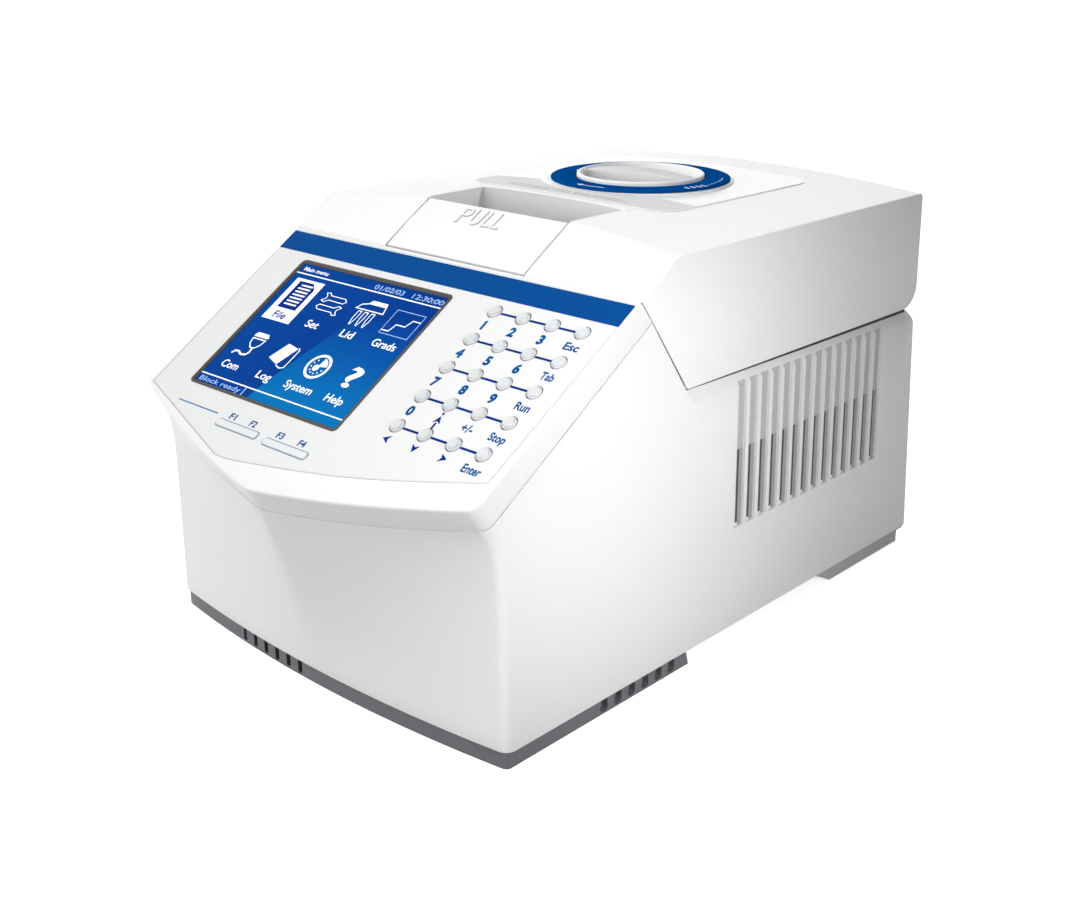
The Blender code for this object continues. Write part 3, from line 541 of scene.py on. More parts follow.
def lcd_paint(name, stops, direction, origin, length, glow=0.06):
    """Display area: a colour run along one direction of the panel."""
    m, nt, b = new_material(name)
    tc = nt.nodes.new("ShaderNodeTexCoord")
    sub = nt.nodes.new("ShaderNodeVectorMath")
    sub.operation = "SUBTRACT"
    sub.inputs[1].default_value = row(origin)
    link(nt, tc.outputs["Object"], sub.inputs[0])
    dot = nt.nodes.new("ShaderNodeVectorMath")
    dot.operation = "DOT_PRODUCT"
    dot.inputs[1].default_value = direction
    link(nt, sub.outputs["Vector"], dot.inputs[0])
    mr = nt.nodes.new("ShaderNodeMapRange")
    mr.inputs["From Min"].default_value = 0.0
    mr.inputs["From Max"].default_value = length * MM
    link(nt, dot.outputs["Value"], mr.inputs["Value"])
    cr = nt.nodes.new("ShaderNodeValToRGB")
    while len(cr.color_ramp.elements) < len(stops):
        cr.color_ramp.elements.new(0.5)
    for el, (pos, rgb) in zip(cr.color_ramp.elements, stops):
        el.position = pos
        el.color = (*rgb, 1)
    link(nt, mr.outputs["Result"], cr.inputs["Fac"])
    link(nt, cr.outputs["Color"], b.inputs["Base Color"])
    link(nt, cr.outputs["Color"], b.inputs["Emission Color"])
    b.inputs["Emission Strength"].default_value = glow
    n = noise(nt, coords(nt), 300.0, 2.0)
    link(nt, spread(nt, n, 0.16, 0.22), b.inputs["Roughness"])
    b.inputs["Specular IOR Level"].default_value = 0.05
    b.inputs["Coat Weight"].default_value = 0.02
    b.inputs["Coat Roughness"].default_value = 0.06
    return m


def srgb(r, g, b):
    def f(c):
        c /= 255.0
        return c / 12.92 if c <= 0.04045 else ((c + 0.055) / 1.055) ** 2.4
    return (f(r), f(g), f(b))


WHITE = plastic("housing_white", (0.865, 0.868, 0.87), 0.42, grain=1500,
                depth=0.012, drift=0.008, edge=0.45)
WHITE_LID = plastic("lid_white", (0.89, 0.892, 0.894), 0.34, grain=1500,
                    depth=0.006, drift=0.006, edge=0.4, spec=0.3)
BEZEL_MAT = plastic("bezel_white", (0.855, 0.857, 0.86), 0.30, grain=1500,
                    depth=0.006, drift=0.006, edge=0.35, spec=0.35)
DARK = plastic("base_grey", srgb(97, 98, 102), 0.55, grain=900, depth=0.05,
               drift=0.06, edge=0.4)
FILM = plastic("panel_film", (0.775, 0.778, 0.78), 0.36, grain=2600,
               depth=0.008, drift=0.006, spec=0.3)
BAND = plastic("panel_blue", srgb(0, 72, 143), 0.42, grain=2600, depth=0.008,
               drift=0.03, spec=0.04)
RING_BLUE = plastic("ring_blue", srgb(0, 70, 140), 0.45, grain=2200,
                    depth=0.01, drift=0.05, edge=0.3, spec=0.0)
OUTLINE = ink("outline_lilac", srgb(210, 214, 228), 0.4)
LEGEND = ink("legend_blue", srgb(0, 82, 146), 0.42)
NAVY = ink("legend_navy", srgb(0, 48, 128), 0.42)
TEAL = ink("legend_teal", srgb(52, 124, 174), 0.42)
PALE = ink("ring_white", srgb(236, 240, 245), 0.4)
GREYPRINT = ink("label_grey", srgb(218, 218, 216), 0.42)
# grey for the copies under the PULL letters: painted shadow
LETTER_SHADOW = ink("letter_painted_shadow", srgb(132, 132, 132), 0.5)
TEXTGREY = ink("label_text_grey", srgb(168, 168, 168), 0.45)
# grey for the knob grip's near face and crest: painted shade
GRIP_SHADE = plastic("grip_painted_shade", (0.62, 0.62, 0.62), 0.45, grain=1500,
                    depth=0.006, drift=0.006, spec=0.2)
# grey for the finger pocket's back wall: painted shade
POCKET_SHADE = plastic("pocket_painted_shade", (0.60, 0.60, 0.60), 0.5, grain=1500,
                 depth=0.006, drift=0.006, spec=0.2)
LABEL = plastic("label_white", (0.90, 0.90, 0.90), 0.22, grain=2200,
                depth=0.004, drift=0.004, coat=0.2)
LCD_FRAME = plastic("lcd_frame", srgb(84, 80, 76), 0.5, grain=1800,
                    depth=0.02, drift=0.05, edge=0.25)
LCD_WHITE = ink("lcd_white", srgb(236, 240, 252), 0.25, glow=0.35)
LCD_PALE = ink("lcd_pale", srgb(150, 184, 232), 0.25, glow=0.25)
LCD_NAVY = ink("lcd_navy", srgb(0, 44, 130), 0.25, glow=0.05)
KEYMAT = plastic("key_silver", (0.665, 0.68, 0.70), 0.30, grain=1600,
                 depth=0.006, drift=0.012, coat=0.1, spec=0.4)
BARMAT = plastic("bar_white", (0.755, 0.77, 0.78), 0.34, grain=1600,
                 depth=0.006, drift=0.012, edge=0.3, spec=0.3)
STEEL = metal("zinc_plate", (0.62, 0.63, 0.64), 0.38, along=(1, 30, 30),
              edge=0.3)
ROD = metal("ground_rod", (0.66, 0.67, 0.68), 0.22, along=(1, 60, 60))
ALU = metal("anodised_aluminium", (0.78, 0.79, 0.80), 0.34,
            along=(25, 1, 25), edge=0.3)
BLACK = plastic("black_moulding", (0.022, 0.022, 0.024), 0.48, grain=900,
                depth=0.04, drift=0.1, edge=0.35)
# grey sheets on the grille recess floors: painted shade, darker in the lower
# part
LOUVRE_SHADE = plastic("louvre_painted_shade", (0.50, 0.50, 0.50), 0.5, grain=1500,
                 depth=0.012, drift=0.01)
LOUVRE_DEEP_SHADE = plastic("louvre_painted_deep_shade", (0.36, 0.36, 0.36), 0.5, grain=1500,
                      depth=0.012, drift=0.01)
GREY = plastic("grey_moulding", (0.30, 0.31, 0.32), 0.5, grain=900,
               depth=0.04, drift=0.05, edge=0.4)
RUBBER = plastic("rubber", (0.03, 0.03, 0.03), 0.75, grain=700, depth=0.06,
                 drift=0.12, edge=0.4)
CERAMIC = plastic("fired_ceramic", (0.80, 0.79, 0.75), 0.62, grain=600,
                  depth=0.03, drift=0.03)
BRASS = metal("plated_pin", (0.72, 0.68, 0.55), 0.28, along=(1, 1, 30))
# lighter grey for the rear foot: painted light
FOOT_PAINTED_LIGHT = plastic("foot_painted_light", srgb(182, 183, 186), 0.55, grain=900,
                    depth=0.04, drift=0.05, edge=0.4)


def board_material():
    m, nt, b = new_material("solder_mask")
    v = coords(nt)
    vor = nt.nodes.new("ShaderNodeTexVoronoi")
    vor.feature = "DISTANCE_TO_EDGE"
    vor.distance = "MANHATTAN" if hasattr(vor, "distance") else vor.distance
    vor.inputs["Scale"].default_value = 160.0
    link(nt, v, vor.inputs["Vector"])
    r = nt.nodes.new("ShaderNodeValToRGB")
    r.color_ramp.elements[0].position = 0.03
    r.color_ramp.elements[0].color = (0.03, 0.24, 0.10, 1)
    r.color_ramp.elements[1].position = 0.06
    r.color_ramp.elements[1].color = (0.012, 0.13, 0.05, 1)
    link(nt, vor.outputs["Distance"], r.inputs["Fac"])
    link(nt, r.outputs["Color"], b.inputs["Base Color"])
    b.inputs["Roughness"].default_value = 0.35
    relief(nt, b, vor.outputs["Distance"], 0.02, 0.2)
    return m


PCB = board_material()


# ------------------------------------------------- shape of the front face
def foot_y(x):
    return -109.6 + 10.0 * (x / HALF_W) ** 2


def prow_y(x):
    a = math.sqrt(x * x + 9.0) - 3.0
    if x > 0:
        return -137.3 + 0.135 * a + 0.00058 * x * x
    return -137.3 + 0.146 * a + 0.00070 * x * x


def seam_plane_z(y, off=-BEZEL_H):
    s = -(y + off * SIN) / COS
    return PANEL_Z - s * SIN + off * COS


def prow_s(x):
    return (8.11 - prow_y(x)) / COS


def corner_shift(x, r=CORNER):
    e = abs(x) - (HALF_W - r)
    if e <= 0:
        return 0.0
    return r - math.sqrt(max(0.0, r * r - e * e))


FRONT_T = (0.0, 0.08, 0.16, 0.24, 0.32, 0.40, 0.48, 0.56, 0.63, 0.70, 0.76,
           0.82, 0.87, 0.91, 0.945, 0.97, 0.988, 1.0)


def front_profile(x, inset=0.0, top_off=-BEZEL_H, levels=FRONT_T):
    shift = corner_shift(x) if inset == 0 else 0.0
    w = min(1.0, abs(x) / HALF_W)
    power = 1.42 * 7.75 ** (w ** 1.5)
    y_top = prow_y(x) + shift
    z_top = seam_plane_z(y_top)
    flare = foot_y(x) - prow_y(x)
    pts = []
    for t in levels:
        y = foot_y(x) + shift - flare * t ** power
        pts.append((y + inset, z_top * t))
    if inset:
        pts[0] = (pts[0][0], -6.0)
        y_end = pts[-1][0]
        pts[-1] = (y_end - 1.2, seam_plane_z(y_end, top_off))
    return pts


def spaced(inner, half, r, n=9, fine=()):
    """Stations across the width, dense round the corner of radius r."""
    xs = list(inner) + list(fine)
    xs += [half - r + r * math.sin(math.radians(90.0 * i / n))
           for i in range(n + 1)]
    xs = sorted(set(round(x, 4) for x in xs))
    return [-x for x in xs[:0:-1] if x > 0] + [-xs[0]] * (xs[0] > 0) + xs


CENTRE = [0.0, 2.0, 4.5, 8.0, 13.0, 20.0, 28.0, 37.0, 47.0, 57.0, 67.0,
          77.0, 86.0, 95.0, 103.0, 110.0, 116.0, 121.0, 125.0, 128.0]


# ------------------------------------------------------------ main housing
def housing_ring(x):
    a = abs(x)
    shift = corner_shift(x)
    w = max(0.0, (a - 130.0) / 5.0)
    deck = DECK_Z - w * (DECK_Z - DECK_EDGE_Z)
    pts = front_profile(x)
    y0, z0 = pts[0]
    # the foot turns in by a small radius
    pts[0:1] = [(y0 + 0.9, 0.0), (y0 + 0.26, 0.26), (y0, 0.9)]
    t = 15.0 / 67.4
    pts.append((V_Y * t, PANEL_Z - (PANEL_Z - V_Z) * t))
    yd = seam_y(deck)
    pts.append((yd - 0.55, deck + 0.75))
    pts.append((yd + 0.1, deck + 0.12))
    pts.append((yd + 0.9, deck))
    back_y = 274.0 + (DECK_Z - deck) / (DECK_Z - BACK_Z) * 9.0
    by = back_y - shift
    ty, tz = BACK_TOP_Y + 0.15 - shift, BACK_Z - 2.0
    for k in (0.0, 0.33, 0.67, 1.0):
        p = Vector((by - 1.6, deck)).lerp(Vector((by, deck)), k)
        q = Vector((by, deck)).lerp(
            Vector((by, deck)).lerp(Vector((ty, tz)), 0.18), k)
        pts.append(tuple(p.lerp(q, k)))
    for k in (0.0, 0.33, 0.67, 1.0):
        p = Vector((by, deck)).lerp(Vector((ty, tz)), 0.8).lerp(
            Vector((ty, tz)), k)
        q = Vector((ty, tz)).lerp(Vector((ty + 0.14, tz - 2.0)), k)
        pts.append(tuple(p.lerp(q, k)))
    pts.append((BACK_FOOT_Y - shift, 0.9))
    pts.append((BACK_FOOT_Y - shift - 0.26, 0.26))
    pts.append((BACK_FOOT_Y - shift - 0.9, 0.0))
    return [drafted(px, y, z) for px, (y, z) in
            ((math.copysign(min(a, HALF_W), x), p) for p in pts)]


housing = make("housing_shell", from_loops(
    [housing_ring(x) for x in spaced(CENTRE, HALF_W, CORNER)]), WHITE,
    "body", ["main_housing"], smooth=None)


def housing_void_ring(x):
    a = abs(x)
    round_in = max(0.0, a - 129.0)
    ceiling = DECK_Z - WALL - max(0.0, a - 124.0) / 8.0 * 14.0
    pts = front_profile(x, inset=WALL + 0.3 + round_in, top_off=-8.0,
                        levels=(0.0, 0.32, 0.56, 0.74, 0.88, 1.0))
    pts.append((seam_y(205.0) - 3.7, 205.0))
    pts.append((seam_y(ceiling) - 3.7, ceiling))
    pts.append((270.8 - round_in, ceiling))
    pts.append((BACK_FOOT_Y - WALL - 10.0 * 138 / 146 - round_in, 136.0))
    pts.append((BACK_FOOT_Y - WALL + 0.3 - round_in, -6.0))
    return [drafted(x, y, z) for y, z in pts]


cut(housing, from_loops([housing_void_ring(x) for x in
                         (-132, -129, -124, -104, -75, -45, -20, -6, 0, 6,
                          20, 45, 75, 104, 124, 129, 132)]))
cut(housing, prism(round_rect(-64, 64, BLOCK_Y - 47, BLOCK_Y + 47, 3.0),
                   145, 160))
cut(housing, prism(round_rect(-118, 118, 13, 82, 3.0), -12, 12, back))
slots, slits = [], []
for side in (-1, 1):
    for i in range(GRILLE_N):
        y = GRILLE_Y0 + GRILLE_PITCH * i
        xa, xb = sorted((side * (HALF_W - 1.7), side * (HALF_W + 4)))
        slots.append(box(xa, xb, y, y + GRILLE_W, GRILLE_Z0, 149.9, grille))
        xa, xb = sorted((side * (HALF_W - 8), side * (HALF_W - 1.0)))
        slits.append(box(xa, xb, y + 0.5, y + 3.6, GRILLE_Z0 + 2.5,
                         GRILLE_STEP, grille))
cut(housing, gather(slots))
cut(housing, gather(slits))
finish_mesh(housing, 30)


# dark strips round the deck and in the seam that the lid closes on: painted
# shadow under the lid's edge, wider towards the rear, and painted shade in the
# seams
gap_shades = []
for side in (-1, 1):
    gap_shades.append(from_loops([
        [Vector((side * x, y, z)) for x, z in
         ((125.0, DECK_Z + 0.02), (125.0, 155.12), (131.4, 155.12),
          (131.4 + w, 153.0 - w), (130.2, 153.6), (129.6, DECK_Z + 0.02))]
        for y, w in ((41.5, 0.0), (60.0, 0.25), (160.0, 0.8),
                     (272.0, 1.1))]))
    gap_shades.append(from_loops([
        [Vector((side * x, seam_y(z) + d, z)) for x, d in
         ((131.8, 0.06), (134.5, 0.06), (134.5, 0.8), (131.8, 0.8))]
        for z in (157.5, 175.0, 192.0, 208.6)]))
gap_shades.append(side_prism(((0.35, 207.6), (0.85, 207.6), (0.9, 208.75),
                         (0.1, 208.75)), -134.4, 134.4))
# these strips are painted shadow and shade, not a seal; they use the rubber
# material
make("lid_gap_shade", gap_shades, RUBBER, "body", smooth=25)

# louvre floors: grey sheets on the recess floors are painted shade of the
# slots, darker again (deeper painted shade) in the lower part
upper, lower, slit_shade_sheets = [], [], []
for side in (-1, 1):
    for i in range(GRILLE_N):
        y = GRILLE_Y0 + GRILLE_PITCH * i
        xa, xb = sorted((side * (HALF_W - 1.74), side * (HALF_W - 1.6)))
        upper.append(box(xa, xb, y + 0.06, y + GRILLE_W - 0.06, GRILLE_STEP,
                         148.2, grille))
        lower.append(box(xa, xb, y + 4.5, y + GRILLE_W - 0.06,
                         GRILLE_Z0 + 0.06, GRILLE_STEP, grille))
        slit_shade_sheets.append(box(xa, xb, y + 0.06, y + 4.45, GRILLE_Z0 + 2.0,
                              GRILLE_STEP - 0.06, grille))
# black sheet flush with the recess floor across each slit: painted shade of
# the open slit
make("louvre_slit_shade", slit_shade_sheets, BLACK, "body",
     smooth=None)
make("louvre_shade_upper", upper, LOUVRE_SHADE, "body",
     smooth=None)
make("louvre_shade_lower", lower, LOUVRE_DEEP_SHADE, "body",
     smooth=None)
# dark baffle inside the slits
make("louvre_baffle", [
    box(min(a, b), max(a, b), GRILLE_Y0 - 2, GRILLE_Y0 + 156, GRILLE_Z0,
        GRILLE_STEP + 2) for a, b in ((128.6, 129.4), (-129.4, -128.6))],
     BLACK, "body", smooth=None)


# ---------------------------------------------------------------- the base
def base_outline(inset, y_back=None):
    hw = HALF_W + DRAFT - inset
    r = 2.5
    xs = [i / 14 * (hw - r) for i in range(-14, 15)]
    pts = [(x, foot_y(x) + inset) for x in xs]
    yc = foot_y(hw) + inset
    for k in range(1, 6):
        t = math.radians(-90 + 90 * k / 6)
        pts.append((hw - r + r * math.cos(t), yc + r + r * math.sin(t)))
    pts.append((hw, yc + r))
    yb = (BACK_FOOT_Y - inset) if y_back is None else y_back
    for k in range(7):
        t = math.radians(90 * k / 6)
        pts.append((hw - r + r * math.cos(t), yb - r + r * math.sin(t)))
    for k in range(7):
        t = math.radians(90 + 90 * k / 6)
        pts.append((-hw + r + r * math.cos(t), yb - r + r * math.sin(t)))
    pts.append((-hw, yc + r))
    for k in range(1, 6):
        t = math.radians(180 + 90 * k / 6)
        pts.append((-hw + r + r * math.cos(t), yc + r + r * math.sin(t)))
    return pts


base = make("base_shell", prism(base_outline(4.6), -2.2, 1.8), DARK, "body",
            ["base_pan"], smooth=None)
join(base, tube(base_outline(1.5), base_outline(6.8), -FOOT, -0.4))
cut(base, side_prism(((51.0, -14.0), (47.6, -2.25), (184.0, -2.25),
                      (207.0, -14.0)), -150, 150))
cut(base, gather([box(-150, -132.8, 47.3, 183.4, -2.9, 3.0),
                  box(132.8, 150, 47.3, 183.4, -2.9, 3.0)]))
cut(base, box(-150, 150, 283.0, 300, -12, -2.25))
vents = []
slot_shape = round_poly(((-1.8, -8.7), (1.8, -8.7), (1.8, 0.6), (-1.8, 0.6)),
                        [1.6, 1.6, 0, 0], 4)
for i in range(6):
    xc = -67.6 + 10.72 * i
    vents.append(prism([(xc + u, w) for u, w in slot_shape], -118, -104.2,
                       lambda u, w, d: Vector((u, d, w))))
slot_shape = round_poly(((-2.9, -8.7), (2.9, -8.7), (2.9, 0.6), (-2.9, 0.6)),
                        [2.4, 2.4, 0, 0], 4)
for side in (-1, 1):
    xa, xb = sorted((side * 132.4, side * 145))
    for i in range(6):
        yc = -24.0 + 11.55 * i
        vents.append(side_prism([(yc + u, w) for u, w in slot_shape], xa, xb))
cut(base, gather(vents))
cut(base, gather([prism(round_rect(x - 2.2, x + 2.2, BLOCK_Y - 40,
                                   BLOCK_Y + 40, 2.1), -8, 6)
                  for x in (-36 + 9.0 * i for i in range(9))]))
finish_mesh(base, 30)
# the rear foot is given a lighter grey than the front skirt: painted light for
# the brighter light that falls on it
base.data.materials.append(FOOT_PAINTED_LIGHT)
for poly in base.data.polygons:
    if poly.center.y > row((0, 186.0, 0)).y and \
            poly.center.z < row((0, 0, -2.3)).z:
        poly.material_index = 1
# dark lining behind the slots
make("vent_lining", [
    prism([(x, foot_y(x) + 7.4) for x in range(-75, -2, 9)]
          + [(x, foot_y(x) + 8.2) for x in range(-3, -76, -9)],
          -9.4, -2.4)]
     + [box(min(a, b), max(a, b), -28, 38, -9.4, -2.4)
        for a, b in ((130.6, 129.8), (-130.6, -129.8))],
     BLACK, "body")

# ---------------------------------------------------------- panel: bezel
FACE_R = 1.3


def panel_outline(inset, s_back=0.0):
    hw = HALF_W - inset
    r = max(2.2, CORNER - inset)
    xs = spaced(CENTRE, hw, r, 8)
    pts = [(hw, s_back), (-hw, s_back)]
    for x in xs:
        e = abs(x) - (hw - r)
        lift = 0.0 if e <= 0 else r - math.sqrt(max(0.0, r * r - e * e))
        pts.append((x, prow_s(x) - 1.02 * inset - lift / COS))
    return pts


def bezel_loop(inset, off, s_back):
    pts = []
    for x, s in panel_outline(inset, s_back):
        p = panel(x, s, off)
        pts.append(drafted(p.x, p.y, p.z))
    return pts


LEAN = 0.57


def bezel_levels():
    out = [(0.5, -BEZEL_H + SEAM, -0.8), (0.12, -BEZEL_H + SEAM + 0.12,
                                          -0.78),
           (0.0, -BEZEL_H + SEAM + 0.5, -0.75),
           (LEAN, -FACE_R * 1.3, -0.1)]
    for k in range(1, 7):
        t = math.radians(90.0 * k / 6)
        out.append((LEAN + FACE_R * (1 - math.cos(t)),
                    -FACE_R * 1.3 * (1 - math.sin(t)), -0.08 + 0.08 * k / 6))
    return out


bezel = make("bezel_frame", from_loops([bezel_loop(*v)
                                        for v in bezel_levels()]),
             BEZEL_MAT, "body", ["panel_bezel"],
             smooth=None)
cut(bezel, from_loops([
    [panel(x, s, -BEZEL_H - 4) for x, s in panel_outline(3.0, 3.2)],
    [panel(x, s, -3.2) for x, s in panel_outline(3.0, 3.2)]]))

FILM_LINE = [(-133.3, 2.1), (-133.3, 18.4), (-130.6, 133.0), (-39.0, 161.0),
             (-30.0, 160.9), (-24.0, 160.2), (-12.0, 158.3), (3.0, 155.8),
             (23.0, 152.2), (43.0, 148.3), (58.0, 144.7), (73.0, 140.8),
             (90.0, 135.9), (106.0, 131.0), (130.7, 123.0), (133.3, 18.4),
             (133.3, 2.1)]
cut(bezel, prism(FILM_LINE, -0.85, 4.0, panel))
x0, x1, s0, s1 = LCD
cut(bezel, prism(round_rect(x0 - 0.4, x1 + 0.4, s0 - 0.4, s1 + 0.4, 2.2),
                 -1.8, 3.0, panel))
key_spots = [(KEY_X0 + KEY_PITCH_X * c, KEY_S0 + KEY_PITCH_S * r)
             for r in range(5) for c in range(4)]
holes = [prism(round_rect(x0 + 2.2, x1 - 2.2, s0 + 2.2, s1 - 2.2, 1.0),
               -6.0, 2.0, panel)]
for kx, ks in key_spots:
    holes.append(prism(circle(kx, ks, KEY_R + 0.5, 40), -6.0, 2.0, panel))
for _, rx, rs in ROCKERS:
    holes.append(prism(round_rect(rx - ROCKER_LEN / 2 - 0.4,
                                  rx + ROCKER_LEN / 2 + 0.4,
                                  rs - ROCKER_W / 2 - 0.35,
                                  rs + ROCKER_W / 2 + 0.35, 1.6), -6.0, 2.0,
                       panel))
cut(bezel, gather(holes))
finish_mesh(bezel, 28)

# ---------------------------------------------------------- panel: film
film = make("panel_film", prism(shrink(FILM_LINE, 0.3), -0.5, 0.0, panel),
            FILM, "body", ["panel_overlay"], smooth=None)
holes = [prism(round_rect(x0 - 0.4, x1 + 0.4, s0 - 0.4, s1 + 0.4, 2.2),
               -3.0, 3.0, panel)]
for kx, ks in key_spots:
    holes.append(prism(circle(kx, ks, KEY_R + 0.6, 40), -3.0, 3.0, panel))
for _, rx, rs in ROCKERS:
    holes.append(prism(round_rect(rx - ROCKER_LEN / 2 - 0.25,
                                  rx + ROCKER_LEN / 2 + 0.25,
                                  rs - ROCKER_W / 2 - 0.22,
                                  rs + ROCKER_W / 2 + 0.22, 1.5), -3.0, 3.0,
                       panel))
cut(film, gather(holes))
finish_mesh(film, 30)

P0, P1 = -0.01, 0.035            # printed layers stand this far proud
make("panel_band", prism(((-133.0, 3.0), (133.0, 3.0), (133.0, 18.2),
                          (-133.0, 18.2)), P0, P1, panel),
     BAND, "body", smooth=None)
make("panel_outline", [
    ribbon([(-133.0, 2.7), (-133.0, 3.0)], 0.3, P0, P1, panel),
    ribbon([(-132.6, 18.6), (-130.0, 132.5), (-39.0, 160.3), (-30.0, 160.2),
            (-24.0, 159.5), (-12.0, 157.6), (3.0, 155.1), (23.0, 151.5),
            (43.0, 147.6), (58.0, 144.0), (73.0, 140.1), (90.0, 135.2),
            (106.0, 130.3), (130.1, 122.5), (132.6, 18.6)], 0.45, P0, P1,
           panel)], OUTLINE, "body", smooth=None)

navy, legend, teal = [], [], []
for r in range(5):
    for c in range(3):
        kx, ks = KEY_X0 + KEY_PITCH_X * c, KEY_S0 + KEY_PITCH_S * r + 0.4
        navy.append(prism(round_rect(kx + 4.5, kx + 16.4, ks - 0.7, ks + 0.7,
                                     0.6, 3), P0, P1, panel))
ax, a0 = KEY_X0 + KEY_PITCH_X + 0.4, KEY_S0 + KEY_PITCH_S * 3
navy.append(prism(round_rect(ax - 0.65, ax + 0.65, a0 + 5.2, a0 + 7.0, 0.3,
                             2), P0, P1, panel))
navy.append(prism(((ax, a0 + 7.6), (ax + 2.6, a0 + 12.7), (ax, a0 + 11.2),
                   (ax - 2.6, a0 + 12.7)), P0, P1, panel))
navy.append(prism(round_rect(ax - 0.65, ax + 0.65, a0 + 12.2, a0 + 17.6,
                             0.3, 2), P0, P1, panel))
rs = KEY_S0 + KEY_PITCH_S * 4 + 9.0
for c, pts in ((0, ((-2.6, 0), (2.3, -2.7), (0.9, 0), (2.3, 2.7))),
               (1, ((0, 2.7), (-2.7, -2.3), (0, -0.9), (2.7, -2.3))),
               (2, ((2.6, 0), (-2.3, 2.7), (-0.9, 0), (-2.3, -2.7)))):
    cx = KEY_X0 + KEY_PITCH_X * c + 0.2
    navy.append(prism([(cx + u, rs + w) for u, w in pts], P0, P1, panel))
make("panel_links", navy, NAVY, "body", smooth=None)

rows = (("1", "2", "3", "Esc"), ("4", "5", "6", "Tab"),
        ("7", "8", "9", "Run"), ("0", "", "+/-", "Stop"),
        ("", "", "", "Enter"))
WIDE = {"Esc": 9.6, "Tab": 8.6, "Run": 9.4, "Stop": 10.6, "Enter": 12.0,
        "+/-": 7.6}
for r, names in enumerate(rows):
    for c, name in enumerate(names):
        if not name:
            continue
        kx, ks = KEY_X0 + KEY_PITCH_X * c, KEY_S0 + KEY_PITCH_S * r
        if name in WIDE:
            cap, wide = 4.7, WIDE[name]
            base_s = ks + 12.2
        else:
            cap, wide, base_s = 5.5, None, ks + 12.9
        legend.append(word(name, kx + (0.2 if c < 3 else 0.3), base_s, cap,
                           P0, P1, panel, weight=0.03 if wide else 0.055,
                           width=wide))
for t, cx, base_s in (("F1", -49.4, 138.3), ("F2", -31.8, 138.3),
                      ("F3", -7.8, 139.1), ("F4", 9.8, 139.1)):
    legend.append(word(t, cx, base_s, 3.7, P0, P1, panel, weight=0.03,
                       width=5.4))
make("panel_legends", legend, LEGEND, "body",
     smooth=None)

for _, rx, rs in ROCKERS:
    line = round_rect(rx - ROCKER_LEN / 2 - 0.5, rx + ROCKER_LEN / 2 + 0.5,
                      rs - ROCKER_W / 2 - 0.46, rs + ROCKER_W / 2 + 0.46, 1.7)
    teal.append(ribbon(line, 0.3, P0, P1, panel, closed=True))
teal.append(prism(((-98.5, 137.4), (-62.0, 137.4), (-62.0, 138.2),
                   (-98.5, 138.2)), P0, P1, panel))
make("panel_thin_lines", teal, TEAL, "body",
     smooth=None)

# -------------------------------------------------------------- display
frame_bm = bmesh.new()
make("display_frame", from_loops([
    [panel(x, s, h) for x, s in round_rect(x0 - e, x1 + e, s0 - e, s1 + e,
                                           max(0.8, 2.4 + e))]
    for e, h in ((-0.1, -1.6), (0.6, -0.02), (0.95, 0.05), (0.85, 0.28),
                 (0.3, 0.45), (-0.6, 0.42), (-1.1, 0.05), (-1.25, -0.9),
                 (-1.5, -1.6))], caps=False), LCD_FRAME, "body",
     smooth=50)
frame_bm.free()

LX0, LX1, LS0, LS1 = x0 + 1.0, x1 - 0.9, s0 + 1.4, s1 - 1.3
SPLIT = [(-31.0, 57.0), (-33.5, 63.0), (-36.5, 71.0), (-40.0, 80.0),
         (-43.5, 89.5), (-46.5, 98.5), (-49.5, 107.0), (-52.0, 115.0),
         (-53.6, LS1)]
dn = Vector((0.0, -COS, -SIN))
lcd_dark = lcd_paint("lcd_dark", ((0.0, srgb(0, 66, 148)),
                                  (0.16, srgb(0, 66, 148)),
                                  (0.45, srgb(0, 62, 144)),
                                  (1.0, srgb(0, 54, 134))),
                     (Vector((0.92, 0, 0)) + dn * 0.39), panel(LX0, LS0, 0),
                     118.0)
lcd_light = lcd_paint("lcd_light", ((0.0, srgb(0, 60, 144)),
                                    (0.35, srgb(0, 80, 158)),
                                    (0.75, srgb(0, 104, 174)),
                                    (1.0, srgb(0, 112, 178))),
                      dn, panel(0, 50.0, 0), 74.0)
D0, D1, D2 = -1.35, -0.75, -0.72
left = [(LX0, LS0), (LX1, LS0), (LX1, 50.0), (-10.0, 51.5), (-24.0, 54.0)]
left += SPLIT + [(LX0, LS1)]
right = [(LX1, 50.0), (LX1, LS1)] + SPLIT[::-1] + [(-24.0, 54.0),
                                                   (-10.0, 51.5)]
make("display_left", prism(left, D0, D1, panel), lcd_dark, "body",
     ["lcd_window"], smooth=None)
make("display_right", prism(right, D0, D1, panel), lcd_light, "body",
     smooth=None)

W0, W1 = D1 - 0.01, D2 + 0.01
lit, pale, dark = [], [], []


def lit_line(pts, w, closed=False, store=None):
    (lit if store is None else store).append(
        ribbon(pts, w, W0, W1, panel, closed=closed))


def lit_area(pts, store=None, top=0.0):
    (lit if store is None else store).append(
        prism(pts, W0, W1 + top, panel))


def lit_word(t, base_s, cap, left_x, right_x, store=None, weight=0.012,
             top=0.0):
    (lit if store is None else store).append(
        word(t, (left_x + right_x) / 2, base_s, cap, W0, W1 + top, panel,
             weight=weight, width=right_x - left_x))


lit_area(((LX0, 32.2), (LX1, 32.6), (LX1, 33.4), (LX0, 33.0)))
lit_area(((LX0, 115.9), (LX1, 115.9), (LX1, 116.7), (LX0, 116.7)))
lit_area(((-60.1, 117.0), (-59.3, 117.0), (-59.3, LS1 - 0.2),
          (-60.1, LS1 - 0.2)), pale)
lit_word("Main menu", 30.3, 3.0, -98.3, -76.6, weight=0.008)
lit_word("01/02/03", 31.0, 3.4, -35.5, -11.5, pale, weight=0.006)
lit_word("12:30:00", 31.0, 3.4, -4.4, 19.8, pale, weight=0.006)
lit_word("Block ready", 121.4, 3.2, -99.5, -62.5, pale, weight=0.006)
